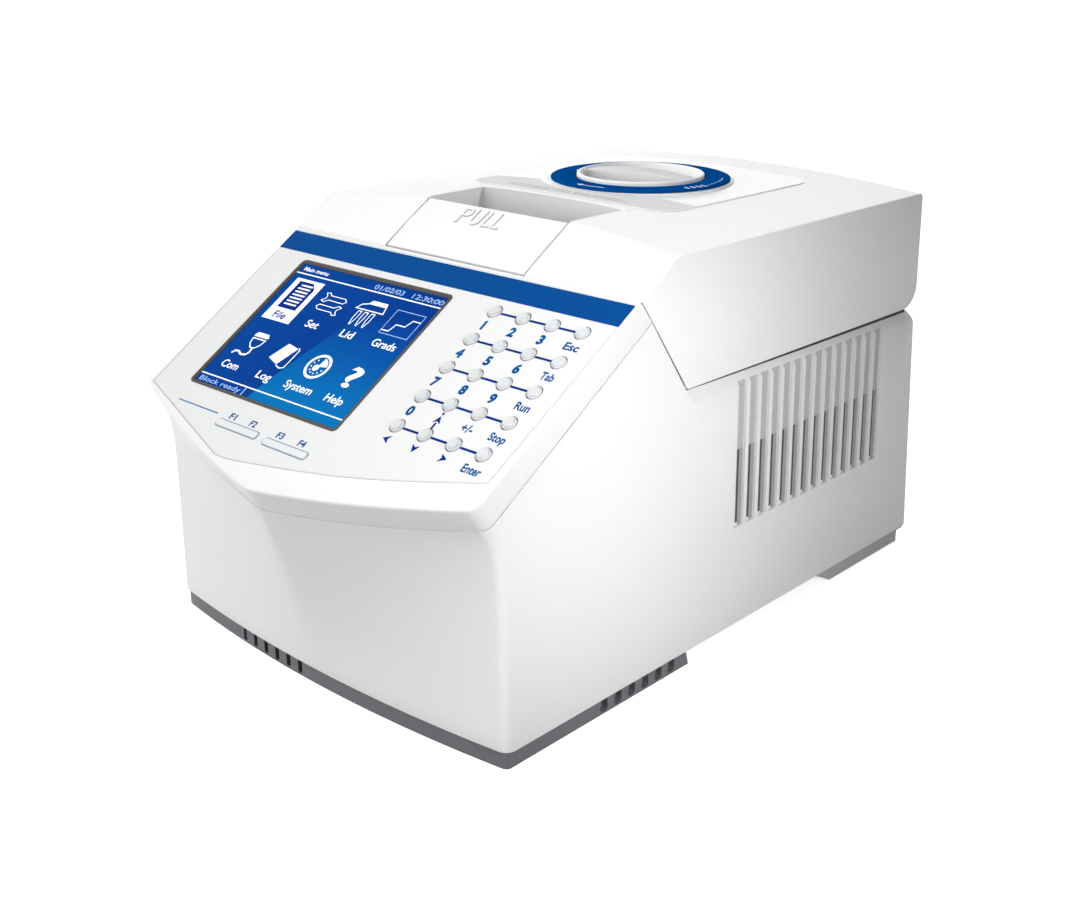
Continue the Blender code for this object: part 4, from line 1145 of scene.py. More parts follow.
# File, shown selected
lit_area(((-96.9, 36.4), (-72.2, 36.4), (-72.2, 69.7), (-96.9, 69.7)))
lit_area(((-92.6, 38.3), (-80.6, 38.3), (-76.2, 42.6), (-76.2, 59.8),
          (-92.6, 59.8)), dark, 0.012)
for k in range(7):
    s = 41.0 + 2.55 * k
    lit_area(((-89.6 + (1.0 if k < 1 else 0.0), s - 0.55), (-78.8, s - 0.55),
              (-78.8, s + 0.6), (-89.6 + (1.0 if k < 1 else 0.0), s + 0.6)),
             None, 0.02)
lit_word("File", 67.6, 5.0, -89.8, -79.2, dark, 0.02, 0.012)
for t, base_s, xa, xb in (("Set", 67.7, -60.0, -49.7),
                          ("Lid", 67.7, -30.2, -20.0),
                          ("Grads", 67.7, -4.0, 14.4),
                          ("Com", 108.8, -93.4, -78.8),
                          ("Log", 108.8, -61.4, -49.2),
                          ("System", 108.8, -36.6, -14.0),
                          ("Help", 108.8, -2.6, 11.4)):
    lit_word(t, base_s, 5.1, xa, xb)
# Set: two open spanners
spanner = [(-64.8, 41.9), (-62.2, 41.2), (-60.0, 43.0), (-47.6, 43.0),
           (-45.4, 45.0), (-47.0, 46.6), (-59.6, 46.4), (-62.0, 48.4),
           (-64.8, 47.6), (-62.6, 45.6), (-62.8, 43.8)]
lit_line(spanner, 0.55, True)
lit_line([(-109.9 - x, 97.2 - s) for x, s in spanner], 0.55, True)
# Lid: hood over three tubes
lit_line([(-35.6, 46.4), (-33.4, 43.2), (-29.0, 41.8), (-27.4, 39.4),
          (-15.6, 39.4), (-14.6, 42.4), (-13.4, 46.4)], 0.7, True)
lit_area(((-27.6, 39.6), (-15.6, 39.6), (-14.9, 41.9), (-28.6, 41.9)))
for k in range(3):
    tx = -30.4 + 5.4 * k
    lit_line([(tx - 1.4, 48.0), (tx + 1.4, 48.0), (tx + 1.4, 53.6),
              (tx + 0.4, 58.2), (tx - 0.4, 58.2), (tx - 1.4, 53.6)], 0.55,
             True)
# Grads: stepped graph in a frame
lit_line([(-5.9, 40.8), (16.3, 40.8), (16.3, 58.2), (-5.9, 58.2)], 0.45,
         True, pale)
lit_line([(-5.9, 56.0), (-0.4, 56.0), (0.6, 53.6), (1.4, 50.6), (8.2, 50.6),
          (9.4, 48.0), (10.4, 45.6), (16.3, 45.6)], 0.7)
# Com: plug and lead
lit_area(((-87.4, 80.2), (-78.0, 80.2), (-76.2, 82.4), (-77.0, 83.4),
          (-88.6, 83.4), (-88.6, 82.0)))
lit_line([(-88.0, 84.8), (-77.0, 84.8), (-78.0, 88.6), (-80.8, 91.6),
          (-84.2, 91.6), (-87.0, 88.6)], 0.8, True)
lit_line([(-81.8, 91.8), (-81.2, 95.0), (-82.6, 97.2), (-86.0, 97.8),
          (-89.4, 96.2), (-92.4, 96.4), (-93.8, 98.6)], 1.3)
# Log: slanted note block
lit_area(((-58.4, 81.8), (-48.9, 83.4), (-54.6, 97.0), (-64.0, 94.0)))
lit_line([(-48.6, 82.8), (-46.9, 84.2), (-47.4, 97.6), (-50.4, 98.8),
          (-54.4, 97.4)], 0.7)
# System: round dial
ring_pts = circle(-25.0, 90.4, 7.9, 36)
lit_line(ring_pts, 1.7, True)
lit_area([(-25.0, 90.4)] + [(-25.0 + 6.2 * math.sin(math.radians(a)),
                             90.4 - 6.2 * math.cos(math.radians(a)))
                            for a in range(8, 83, 12)])
lit_area(circle(-25.8, 91.4, 2.3, 18))
for k in range(8):
    t = math.radians(112 + 30 * k)
    lit_area(circle(-25.0 + 5.0 * math.sin(t), 90.4 - 5.0 * math.cos(t), 0.5,
                    8))
lit_word("?", 97.2, 13.6, -0.9, 8.6, None, 0.02)
make("display_symbols", lit, LCD_WHITE, "body",
     smooth=None)
make("display_small_print", pale, LCD_PALE, "body",
     smooth=None)
make("display_dark_print", dark, LCD_NAVY, "body",
     smooth=None)

# ------------------------------------------------------------------ keys
cap_profile = [(1.9, -6.2), (1.9, -4.9), (KEY_R + 1.4, -4.9),
               (KEY_R + 1.4, -3.6), (KEY_R - 0.05, -3.6),
               (KEY_R - 0.05, 0.35), (KEY_R - 0.13, 0.6),
               (KEY_R - 0.35, 0.74), (KEY_R - 0.6, 0.74),
               (KEY_R - 0.76, 0.62), (KEY_R - 0.86, 0.6),
               (KEY_R - 0.93, 1.1), (KEY_R - 1.02, 1.36),
               (KEY_R - 1.2, 1.52), (KEY_R - 1.45, 1.57),
               (KEY_R - 1.9, 1.5), (KEY_R - 2.7, 1.38),
               (KEY_R - 3.85, 1.32)]
for i, (kx, ks) in enumerate(key_spots):
    node = "key_%02d" % (i + 1)
    make("keycap_%02d" % (i + 1), turned(cap_profile, kx, ks, 40, panel),
         KEYMAT, node + "_button", [node], smooth=35)

for name, rx, rs in ROCKERS:
    hl, hw = ROCKER_LEN / 2, ROCKER_W / 2
    levels = [(-1.2, -5.2, 1.6), (-1.2, -4.3, 1.6), (0.0, -4.3, 1.3),
              (0.0, 0.25, 1.3)]
    for k in range(1, 6):
        t = math.radians(90.0 * k / 5)
        levels.append((0.35 * (1 - math.cos(t)), 0.25 + 0.35 * math.sin(t),
                       1.3 - 0.35 * (1 - math.cos(t))))
    levels.append((1.0, 0.64, 0.5))
    make(name + "_bar_cap", from_loops([
        [panel(x, s, h) for x, s in
         round_rect(rx - hl + e, rx + hl - e, rs - hw + e, rs + hw - e, r,
                    6)] for e, h, r in levels]), BARMAT, name + "_bar",
        [name], smooth=35)


# -------------------------------------------------------------------- lid
def crown(x):
    return LID_TOP_MID - LID_CROWN * (x / HALF_W) ** 2


def lid_ring(x):
    a = abs(x)
    e = max(0.0, a - 134.1) / 0.9
    dr = 0.9 * (1.0 - math.sqrt(max(0.0, 1.0 - e * e)))
    z = crown(x) - dr
    dy = dr * 0.75
    y_front = (crown(x) - PANEL_Z) / math.tan(SLOPE)
    k = math.tan(SLOPE)
    low = PANEL_Z - 0.15 - dr * 0.6

    def slope_z(y):
        return min(low + (y - 0.0) * k, z)

    pts = [(LID_GAP + dy * 0.5, PANEL_Z - 0.9 - dr * 0.4),
           (LID_GAP + 0.08 + dy * 0.5, slope_z(1.0) - 0.45),
           (LID_GAP + 0.5 + dy * 0.5, slope_z(1.5) - 0.12),
           (LID_GAP + 1.2 + dy * 0.5, slope_z(2.2 + dy * 0.5))]
    pts = pts[::-1]
    under = [(seam_y(LID_BOTTOM) + LID_GAP + 0.1, LID_BOTTOM + 0.5),
             (seam_y(LID_BOTTOM) + LID_GAP + 0.7, LID_BOTTOM),
             (HINGE_Y, LID_BOTTOM)]
    r = HINGE_Z - LID_BOTTOM
    n = 10
    for i in range(1, n + 1):
        t = math.radians(-90 + 90.0 * i / n)
        under.append((HINGE_Y + 14.0 * math.cos(t) - dy,
                      HINGE_Z + r * math.sin(t)))
    top_back = LID_BACK_TOP - dy
    br = 3.0
    for i in range(6):
        t = math.radians(90.0 * i / 5)
        under.append((top_back - br + br * math.cos(t),
                      z - br + br * math.sin(t)))
    # front edge of the top: an arc from the flat top into the slope
    fr = 3.4
    c = Vector((y_front, z))
    a0 = c + Vector((fr * 0.72, 0.0))
    b0 = c - Vector((math.cos(SLOPE), math.sin(SLOPE))) * fr * 0.72
    b0.y = slope_z(b0.x)
    for i in range(7):
        w = i / 6
        q = a0.lerp(c, w).lerp(c.lerp(b0, w), w)
        under.append((q.x, min(q.y, z)))
    return [Vector((x, y, zz)) for y, zz in under + pts]


LIDX = [0.0, 8, 17, 26, 35, 44, 53, 62, 71, 80, 89, 98, 107, 115, 122, 128,
        132]
lid = make("lid_shell", from_loops([lid_ring(x) for x in
                                    spaced(LIDX, HALF_W, 0.9, 6)]),
           WHITE_LID, "lid", ["lid_cover"], smooth=None)


def lid_void_ring(x):
    z = crown(x) - WALL
    y_front = (z - PANEL_Z + WALL / COS) / math.tan(SLOPE)
    z_low = PANEL_Z - 0.4
    pts = [(seam_y(z_low) + LID_GAP + 3.7, z_low),
           (seam_y(150.0) + LID_GAP + 3.7, 150.0), (266.0, 150.0),
           (266.0, 158.2)]
    for i in range(1, 9):
        t = math.radians(-90 + 90.0 * i / 8)
        pts.append((HINGE_Y + 11.0 * math.cos(t),
                    HINGE_Z + 11.0 * math.sin(t)))
    pts += [(LID_BACK_TOP - WALL, z), (y_front, z)]
    return [Vector((x, y, zz)) for y, zz in pts]


cut(lid, from_loops([lid_void_ring(x) for x in
                     (-132, -122, -104, -82, -60, -40, -20, 0, 20, 40, 60,
                      82, 104, 122, 132)]))
join(lid, side_prism(((16.5, 211.5), (77.0, 211.5), (84.5, 233.2),
                      (81.0, 233.2), (33.0, 229.0)), -58.2, 58.2))


def pivot_ring(r, x, n=24, d_off=0.0):
    return [panel(x, PIVOT_S + r * math.cos(2 * math.pi * i / n),
                  PIVOT_OFF + d_off + r * math.sin(2 * math.pi * i / n))
            for i in range(n)]


def pivot_rod(r, xa, xb, n=24, d_off=0.0):
    return from_loops([pivot_ring(r, xa, n, d_off),
                       pivot_ring(r, xb, n, d_off)])


# raised pad for the dial, with a small round at its edge
pad = [(RING_R + 1.5, 229.0), (RING_R + 1.5, 234.35)]
for i in range(1, 4):
    t = math.radians(30.0 * i)
    pad.append((RING_R + 1.5 - 0.3 * (1 - math.cos(t)),
                234.35 + 0.3 * math.sin(t)))
join(lid, turned(pad, 0, BLOCK_Y, 96))
cut(lid, turned(((KNOB_R + 1.2, 220.0), (KNOB_R + 1.2, 245.0)), 0, BLOCK_Y,
                96))
# finger pocket: sloping back wall, corners of its plan rounded
pocket = []
for x, e in ((-55.2, 2.2), (-54.9, 1.1), (-54.2, 0.4), (-53.0, 0.0),
             (53.0, 0.0), (54.2, 0.4), (54.9, 1.1), (55.2, 2.2)):
    pocket.append([Vector((x, y, z)) for y, z in
                   ((12.0 + e, 214.0 + e), (74.5 - e, 214.0 + e),
                    (76.2 - e, 218.0 + e * 0.4), (81.0 - e, 232.0),
                    (81.6 - e, 246.0), (30.0, 246.0))])
cut(lid, from_loops(pocket))
cut(lid, box(-55.2, 55.2, -44.6, 6.0, -4.6, 12.0, panel))
for side in (-1, 1):
    xa, xb = sorted((side * 54.9, side * 60.0))
    join(lid, pivot_rod(3.3, xa, xb, 24, -0.2))
cut(lid, gather([pivot_rod(1.75, -62, -52), pivot_rod(1.75, 52, 62)]))
cut(lid, side_prism(((14.0, 204.0), (2.0, 204.0), (22.0, 174.0),
                     (36.0, 174.0), (31.0, 186.0)), -12, 12))
cut(lid, gather([prism(round_rect(-104.6, -85.4, 256, 292, 1.5), 148, 174.5),
                 prism(round_rect(85.4, 104.6, 256, 292, 1.5), 148,
                       174.5)]))
finish_mesh(lid, 28)
# the pocket's back wall is coloured a little greyer than the lid: painted
# shade in the recess
lid.data.materials.append(POCKET_SHADE)
for poly in lid.data.polygons:
    c = poly.center / MM
    if abs(c.x) < 55.0 and 73.5 < c.y - SHIFT_Y < 81.7 and \
            214.2 < c.z - FOOT < 236.0 and poly.normal.y < -0.5:
        poly.material_index = 1

# ------------------------------------------------------------------ latch
flap_line = round_poly(((-43.0, -3.0), (-43.0, -0.1), (-23.6, 0.68),
                        (-1.6, -0.05), (-1.6, -3.0)),
                       [0.5, 1.0, 5.0, 0.9, 0.5], 6)
flap_rings = []
for x, e in ((-54.0, 0.9), (-53.94, 0.55), (-53.75, 0.25), (-53.45, 0.07),
             (-53.0, 0.0), (-18.0, 0.0), (18.0, 0.0), (53.0, 0.0),
             (53.45, 0.07), (53.75, 0.25), (53.94, 0.55), (54.0, 0.9)):
    mid_s, mid_o = -22.3, -2.6
    ring_pts = []
    for s, o in flap_line:
        ks = 1.0 - e / 20.7
        ko = 1.0 - e / 3.2 if o > mid_o else 1.0
        ring_pts.append(panel(x, mid_s + (s - mid_s) * ks,
                              mid_o + (o - mid_o) * ko))
    flap_rings.append(ring_pts)
flap = make("latch_flap", from_loops(flap_rings), WHITE_LID, "latch",
            ["pull_latch"], smooth=None)
for side in (-1, 1):
    xa, xb = sorted((side * 40.0, side * 53.6))
    join(flap, pivot_rod(2.9, xa, xb, 24))
arm = round_poly(((7.0, 210.6), (11.5, 213.5), (21.0, 203.0), (28.4, 192.5),
                  (28.4, 183.5), (25.0, 183.5), (25.0, 191.2),
                  (17.5, 200.5), (9.0, 207.0)), 1.2, 4)
join(flap, side_prism(arm, -8.0, 8.0))
cut(flap, gather([pivot_rod(1.75, -56, -38), pivot_rod(1.75, 38, 56)]))
finish_mesh(flap, 28)


def on_flap(x, s, off=0.0):
    """Point on the upper slope of the latch flap."""
    w = max(0.0, min(1.0, (s + 42.4) / 18.8))
    return panel(x, s, -0.08 + 0.70 * w ** 0.9 + off)


letters, under = [], []
for ch, xa, xb in (("P", -20.6, -12.6), ("U", -10.4, -2.6), ("L", 0.0, 5.6),
                   ("L", 7.4, 13.0)):
    letters.append(word(ch, (xa + xb) / 2, -27.8, 12.6, -0.12, 0.5, on_flap,
                        weight=-0.004, width=xb - xa))
    under.append(word(ch, (xa + xb) / 2 + 0.36, -27.4, 12.6, -0.12, 0.12,
                      on_flap, weight=-0.004, width=xb - xa))
make("latch_lettering", letters, WHITE_LID, "latch",
     smooth=25)
# grey copies of the letters, shifted down and to the right under them: painted
# shadow of the raised letters
make("latch_lettering_shadow", under, LETTER_SHADOW, "latch",
     smooth=25)

# ------------------------------------------------------------- dial ring
Z_RING = 236.2
make("dial_plate", from_loops([
    [Vector((r * math.cos(2 * math.pi * i / 120),
             BLOCK_Y + r * math.sin(2 * math.pi * i / 120), h))
     for i in range(120)] for r, h in
    ((KNOB_R + 0.9, 235.0), (RING_R, 235.0), (RING_R, 235.75),
     (RING_R - 0.12, 236.02), (RING_R - 0.45, Z_RING),
     (KNOB_R + 1.3, Z_RING), (KNOB_R + 1.0, 236.05),
     (KNOB_R + 0.9, 235.75))] + [
    [Vector(((KNOB_R + 0.9) * math.cos(2 * math.pi * i / 120),
             BLOCK_Y + (KNOB_R + 0.9) * math.sin(2 * math.pi * i / 120),
             235.0)) for i in range(120)]], caps=False), RING_BLUE, "lid",
     ["dial_ring"], smooth=40)


def dial(r, deg, h=0.0):
    t = math.radians(deg)
    return Vector((r * math.sin(t), BLOCK_Y - r * math.cos(t), Z_RING + h))


def dial_place(u, v, h):
    """u runs round the dial in degrees, v outwards in mm."""
    return dial(v, u, h)


marks = []


def stroke(d0, d1, r0, r1):
    n = max(1, int(abs(d1 - d0) / 4))
    ds = [d0 + (d1 - d0) * k / n for k in range(n + 1)]
    marks.append(from_loops([[dial(r0, d, h) for d in ds]
                             + [dial(r1, d, h) for d in ds[::-1]]
                             for h in (-0.01, 0.035)]))


# a turning arrow, index strokes, a dotted run and two sets of short dashes
stroke(14, -5, 50.3, 51.2)
marks.append(prism(((-5, 48.6), (-10, 50.75), (-5, 52.9)), -0.01, 0.035,
                   dial_place))
for d in (71, 76, 81, 86):
    stroke(d, d + 1.6, 48.5, 53.5)
for k in range(9):
    d = 92 + 3.6 * k
    stroke(d, d + 1.1, 50.6, 51.5)
for d in (-76, -81, -86, -91, 163, 169, 175):
    stroke(d, d + 2.6, 43.2, 44.4)
make("dial_marks", marks, PALE, "lid", smooth=None)

# ------------------------------------------------------------------- knob
wall = [(9.0, 211.8), (9.0, 222.4), (9.6, 223.0), (31.5, 225.2),
        (35.0, 226.6), (37.6, 229.6), (39.2, 233.4), (KNOB_R, 236.2)]
for i in range(7):
    t = math.radians(180.0 * i / 6)
    wall.append((KNOB_R - 1.2 + 1.2 * math.cos(t),
                 237.4 + 1.2 * math.sin(t)))
wall += [(36.9, 236.4), (36.0, 233.8), (33.6, 231.7), (29.0, 230.3),
         (20.0, 229.3), (12.0, 228.8), (0.2, 228.6)]
knob = make("knob_dish", turned(wall, 0, BLOCK_Y, 96), WHITE_LID, "knob",
            ["lid_knob"], smooth=None)
TURN = math.radians(8.0)
grip = []
N_BAR = 28
for i in range(N_BAR + 1):
    q = -1.0 + 2.0 * i / N_BAR
    x = 36.9 * q
    h = 240.15 - 2.3 * q * q - (0.5 if abs(q) > 0.99 else 0.0)
    w = 8.6 - 3.4 * q * q
    r = 1.9
    ring_pts = [(-w - 1.6, 228.0), (w + 1.6, 228.0), (w + 0.5, h - 5.5),
                (w, h - r)]
    for k in range(1, 6):
        t = math.radians(90.0 * k / 5)
        ring_pts.append((w - r * (1 - math.cos(t)), h - r + r * math.sin(t)))
    for k in range(0, 5):
        t = math.radians(90.0 * k / 5)
        ring_pts.append((-w + r * (1 - math.sin(t)),
                         h - r + r * math.cos(t)))
    ring_pts += [(-w, h - r), (-w - 0.5, h - 5.5)]
    grip.append([Vector((x * math.cos(TURN) - dy * math.sin(TURN),
                         BLOCK_Y + x * math.sin(TURN)
                         + dy * math.cos(TURN), z)) for dy, z in ring_pts])
join(knob, from_loops(grip))
cut(knob, prism(circle(0, BLOCK_Y, 5.6, 32), 205.0, 227.0))
finish_mesh(knob, 32)
# the grip's near face and crest are coloured greyer: painted shade
knob.data.materials.append(GRIP_SHADE)
for poly in knob.data.polygons:
    c = poly.center / MM
    gx, gy = c.x, c.y - SHIFT_Y - BLOCK_Y
    u = gx * math.cos(TURN) + gy * math.sin(TURN)
    v = gy * math.cos(TURN) - gx * math.sin(TURN)
    if -11.0 < v < 3.0 and abs(u) < 36.0 and c.z - FOOT > 229.6:
        poly.material_index = 1
# printed pointer at one end of the grip


def on_grip(u, v, h):
    q = u / 36.9
    x, dy = u, v
    return Vector((x * math.cos(TURN) - dy * math.sin(TURN),
                   BLOCK_Y + x * math.sin(TURN) + dy * math.cos(TURN),
                   240.15 - 2.3 * q * q + h))


make("knob_pointer", from_loops([
    [on_grip(u, v, h) for u, v in
     [(a, -0.45) for a in (24.0, 26.5, 29.0, 31.5, 34.0)]
     + [(a, 0.45) for a in (34.0, 31.5, 29.0, 26.5, 24.0)]]
    for h in (-0.02, 0.035)]), GREYPRINT, "knob",
    smooth=None)


# ------------------------------------------------------------------ label
def lid_top(x, y, h=0.0):
    return Vector((x, y, crown(x) + h))


def sheet_on_lid(outline, h0, h1, hole_r=None, cell=6.0):
    """Thin sheet following the lid's crown, with an optional round hole."""
    flat = bmesh.new()
    me_pts = outline
    bm = prism(me_pts, -1.0, 1.0)
    me = bpy.data.meshes.new("tmp")
    bm.to_mesh(me)
    bm.free()
    flat.from_mesh(me)
    bpy.data.meshes.remove(me)
    if hole_r:
        ob = bpy.data.objects.new("tmp", bpy.data.meshes.new("tmp"))
        flat.to_mesh(ob.data)
        scene.collection.objects.link(ob)
        tool = bpy.data.objects.new("tmp2", bpy.data.meshes.new("tmp2"))
        hole = prism(circle(0, BLOCK_Y, hole_r, 120), -4.0, 4.0)
        hole.to_mesh(tool.data)
        hole.free()
        scene.collection.objects.link(tool)
        mod = ob.modifiers.new("cut", "BOOLEAN")
        mod.operation = "DIFFERENCE"
        mod.solver = "EXACT"
        mod.object = tool
        bake(ob)
        flat.free()
        flat = bmesh.new()
        flat.from_mesh(ob.data)
        bpy.data.objects.remove(ob, do_unlink=True)
        bpy.data.objects.remove(tool, do_unlink=True)
    x = math.ceil(min(v.co.x for v in flat.verts) / cell) * cell
    end = max(v.co.x for v in flat.verts)
    while x < end:
        geom = flat.verts[:] + flat.edges[:] + flat.faces[:]
        bmesh.ops.bisect_plane(flat, geom=geom, plane_co=(x, 0, 0),
                               plane_no=(1, 0, 0))
        x += cell
    for v in flat.verts:
        v.co = lid_top(v.co.x, v.co.y, h0 if v.co.z < 0 else h1)
    bmesh.ops.recalc_face_normals(flat, faces=flat.faces[:])
    return flat


def label_front(x):
    return 88.0 + 3.0 * (x / 60.0) ** 2


LBX0, LBX1, LBY1 = -82.0, 77.0, 241.0


def corner_arc(cx, cy, r, a0, a1, n=7):
    return [(cx + r * math.cos(math.radians(a0 + (a1 - a0) * k / n)),
             cy + r * math.sin(math.radians(a0 + (a1 - a0) * k / n)))
            for k in range(n + 1)]


front_pts = [(x, label_front(x)) for x in range(-64, 57, 6)]
label_line = (corner_arc(LBX0 + 17, 108.5, 17, 180, 262) + front_pts
              + corner_arc(LBX1 - 17, 108.5, 17, -82, 0)
              + corner_arc(LBX1 - 13, LBY1 - 13, 13, 0, 90)
              + corner_arc(LBX0 + 13, LBY1 - 13, 13, 90, 180))
make("lid_label_film", sheet_on_lid(label_line, 0.15, 0.5,
                                    RING_R + 2.3), LABEL, "lid",
     ["lid_label"], smooth=None)
band_line = (corner_arc(LBX0 + 17, 108.5, 16.4, 180, 262)
             + [(x, y + 0.6) for x, y in front_pts]
             + corner_arc(LBX1 - 17, 108.5, 16.4, -82, 0)
             + [(LBX1 - 0.6, 121.0), (62.0, 121.4)]
             + corner_arc(0, BLOCK_Y, 62.0, -44, -136, 20)
             + [(-62.0, 121.4), (LBX0 + 0.6, 121.0)])
make("lid_label_band", sheet_on_lid(band_line, 0.47, 0.535), GREYPRINT,
     "lid", smooth=None)
text_bars = []
for row_i, (yb, spans) in enumerate((
        (93.6, ((-48, -31), (-29, -12), (-10, 4), (6, 25), (27, 45))),
        (97.2, ((-49, -38), (-36, -15), (-13, 2), (4, 16), (18, 40))))):
    for xa, xb in spans:
        n = max(2, int((xb - xa) / 3))
        cells = [xa + (xb - xa) * k / n for k in range(n + 1)]
        bow = [0.9 * (abs(v) / 50.0) ** 2 * 4 for v in cells]
        outline = ([(v, yb + b) for v, b in zip(cells, bow)]
                   + [(v, yb + b + 1.2) for v, b in
                      list(zip(cells, bow))[::-1]])
        text_bars.append(from_loops([[lid_top(u, w, h) for u, w in outline]
                                     for h in (0.52, 0.575)]))
make("lid_label_lines", text_bars, TEXTGREY, "lid",
     smooth=None)

# --------------------------------------------------- block, plate, chassis
deck_ring = make("block_frame", from_loops([
    [Vector((x, y, h)) for x, y in round_rect(-69 + e, 69 - e,
                                              BLOCK_Y - 52 + e,
                                              BLOCK_Y + 52 - e, 6 - e, 6)]
    for e, h in ((0.0, DECK_Z + SEAM), (0.0, 155.6), (0.25, 156.1),
                 (0.7, 156.4))]), GREY, "body", ["block_surround"],
                 smooth=None)
join(deck_ring, prism(round_rect(-63, 63, BLOCK_Y - 46, BLOCK_Y + 46, 5, 6),
                      141.0, 155.6))
cut(deck_ring, from_loops([
    [Vector((x, y, h)) for x, y in round_rect(-56.8 - e, 56.8 + e,
                                              BLOCK_Y - 39.8 - e,
                                              BLOCK_Y + 39.8 + e, 3 + e, 6)]
    for e, h in ((0.0, 138.0), (0.0, 152.0), (0.8, 154.2), (2.2, 156.6))]))
finish_mesh(deck_ring, 30)

block = make("well_block", from_loops([
    [Vector((x, y, h)) for x, y in round_rect(-55 + e, 55 - e,
                                              BLOCK_Y - 38 + e,
                                              BLOCK_Y + 38 - e, 2.0, 5)]
    for e, h in ((0.0, 118.0), (0.0, 145.4), (0.6, 146.0))]), ALU, "body",
             ["sample_block"], smooth=None)
wells = []
for r in range(8):
    for c in range(12):
        wx, wy = (c - 5.5) * 9.0, BLOCK_Y + (r - 3.5) * 9.0
        wells.append(turned(((0.9, 131.5), (1.35, 132.0), (3.05, 144.6),
                             (3.35, 145.3), (3.9, 146.2), (4.0, 147.0)),
                            wx, wy, 20))
cut(block, gather(wells))
finish_mesh(block, 30)

pl = make("lid_hot_plate", from_loops([
    [Vector((x, y, h)) for x, y in round_rect(-55.5 + e, 55.5 - e,
                                              BLOCK_Y - 38.5 + e,
                                              BLOCK_Y + 38.5 - e, 3.0, 5)]
    for e, h in ((0.8, 161.0), (0.0, 161.8), (0.0, 168.2), (0.8, 169.0))]),
          ALU, "heated_plate_group", ["heated_plate"],
          smooth=None)
cut(pl, gather([turned(((3.4, 160.0), (3.2, 162.2), (3.2, 163.4)), x,
                       BLOCK_Y + y, 28)
                for x, y in ((-47, -31), (47, -31), (-47, 31), (47, 31))]))
finish_mesh(pl, 30)
screws = []
for x, y in ((-47, -31), (47, -31), (-47, 31), (47, 31)):
    s = turned(((0.2, 163.35), (2.9, 163.35), (2.9, 162.1), (2.5, 161.75),
                (1.5, 161.75), (1.3, 162.7), (0.2, 162.7)), x, BLOCK_Y + y,
               24)
    screws.append(s)
make("hot_plate_screws", screws, STEEL, "heated_plate_group",
     smooth=35)

# inside of the lid: a moulded liner round the plate opening, with screws
liner = make("lid_liner", from_loops([
    [Vector((x, y, h)) for x, y in round_rect(-128 + e, 128 - e, 45 + e,
                                              261 - e, 4.0, 5)]
    for e, h in ((0.6, 158.0), (0.0, 158.6), (0.0, 160.0), (0.6, 160.6))]),
             GREY, "lid", ["lid_chassis"], smooth=None)
cut(liner, prism(round_rect(-58, 58, BLOCK_Y - 41, BLOCK_Y + 41, 4.0, 5),
                 150, 170))
EAR = [(240.0, 158.3), (258.0, 158.3), (266.0, 162.2), (271.0, 163.8),
       (273.8, 167.0), (273.8, 171.0), (271.0, 174.4), (264.0, 175.4),
       (258.0, 172.5), (245.0, 160.3), (240.0, 160.3)]
for side in (-1, 1):
    xa, xb = sorted((side * 64.0, side * 78.0))
    join(liner, side_prism(round_poly(EAR, 1.5, 3), xa, xb))
hole = [(HINGE_Y + 3.4 * math.cos(a), HINGE_Z + 3.4 * math.sin(a))
        for a in (2 * math.pi * i / 32 for i in range(32))]
cut(liner, side_prism(hole, -90, 90))
ribs = []
for x0r, x1r, y0r, y1r in ((-112, -84, 66, 236), (84, 112, 66, 236),
                           (-58, 58, 62, 96), (-58, 58, 226, 246)):
    ribs.append(prism(round_rect(x0r, x1r, y0r, y1r, 4.0, 5), 157.0, 158.9))
cut(liner, gather(ribs))
finish_mesh(liner, 30)
screws = []
for x, y in ((-120, 52), (120, 52), (-120, 250), (120, 250), (-70, 110),
             (70, 110), (-70, 220), (70, 220)):
    screws.append(turned(((0.2, 158.4), (3.0, 158.4), (2.9, 157.4),
                          (2.4, 157.0), (1.3, 157.0), (1.1, 157.7),
                          (0.2, 157.7)), x, y, 24))
make("liner_screws", screws, STEEL, "lid", smooth=35)

# --------------------------------------------------------------- the back
rear = make("rear_plate", from_loops([
    [back(x, u, o) for x, u in round_rect(-122, 122, 9, 86, 2.0, 5)]
    for o in (-4.9, -3.35)]), STEEL, "body", ["rear_panel"],
            smooth=None)
holes = [prism(round_rect(-92 - 13.8, -92 + 13.8, 44 - 10.4, 44 + 10.4, 1.5),
               -9, 0, back),
         prism(round_rect(-56 - 9.8, -56 + 9.8, 44 - 6.8, 44 + 6.8, 1.2), -9,
               0, back),
         prism(round_rect(92 - 6.4, 92 + 6.4, 40 - 5.9, 40 + 5.9, 0.8), -9,
               0, back)]
for i in range(8):
    holes.append(prism(round_rect(-30 + 11 * i, -26 + 11 * i, 24, 70, 1.95),
                       -9, 0, back))
cut(rear, gather(holes))
finish_mesh(rear, 30)
screws = []
for x, u in ((-116.5, 76.5), (112, 76.5), (-116.5, 19.5), (112, 19.5), (0, 19),
             (-107, 66), (-77, 66)):
    head = turned(((0.2, -3.5), (2.9, -3.5), (2.8, -2.5), (2.1, -1.9),
                   (1.2, -1.75), (1.0, -2.5), (0.2, -2.5)), x, u, 24, back)
    screws.append(head)
make("rear_screws", screws, STEEL, "body", smooth=35)

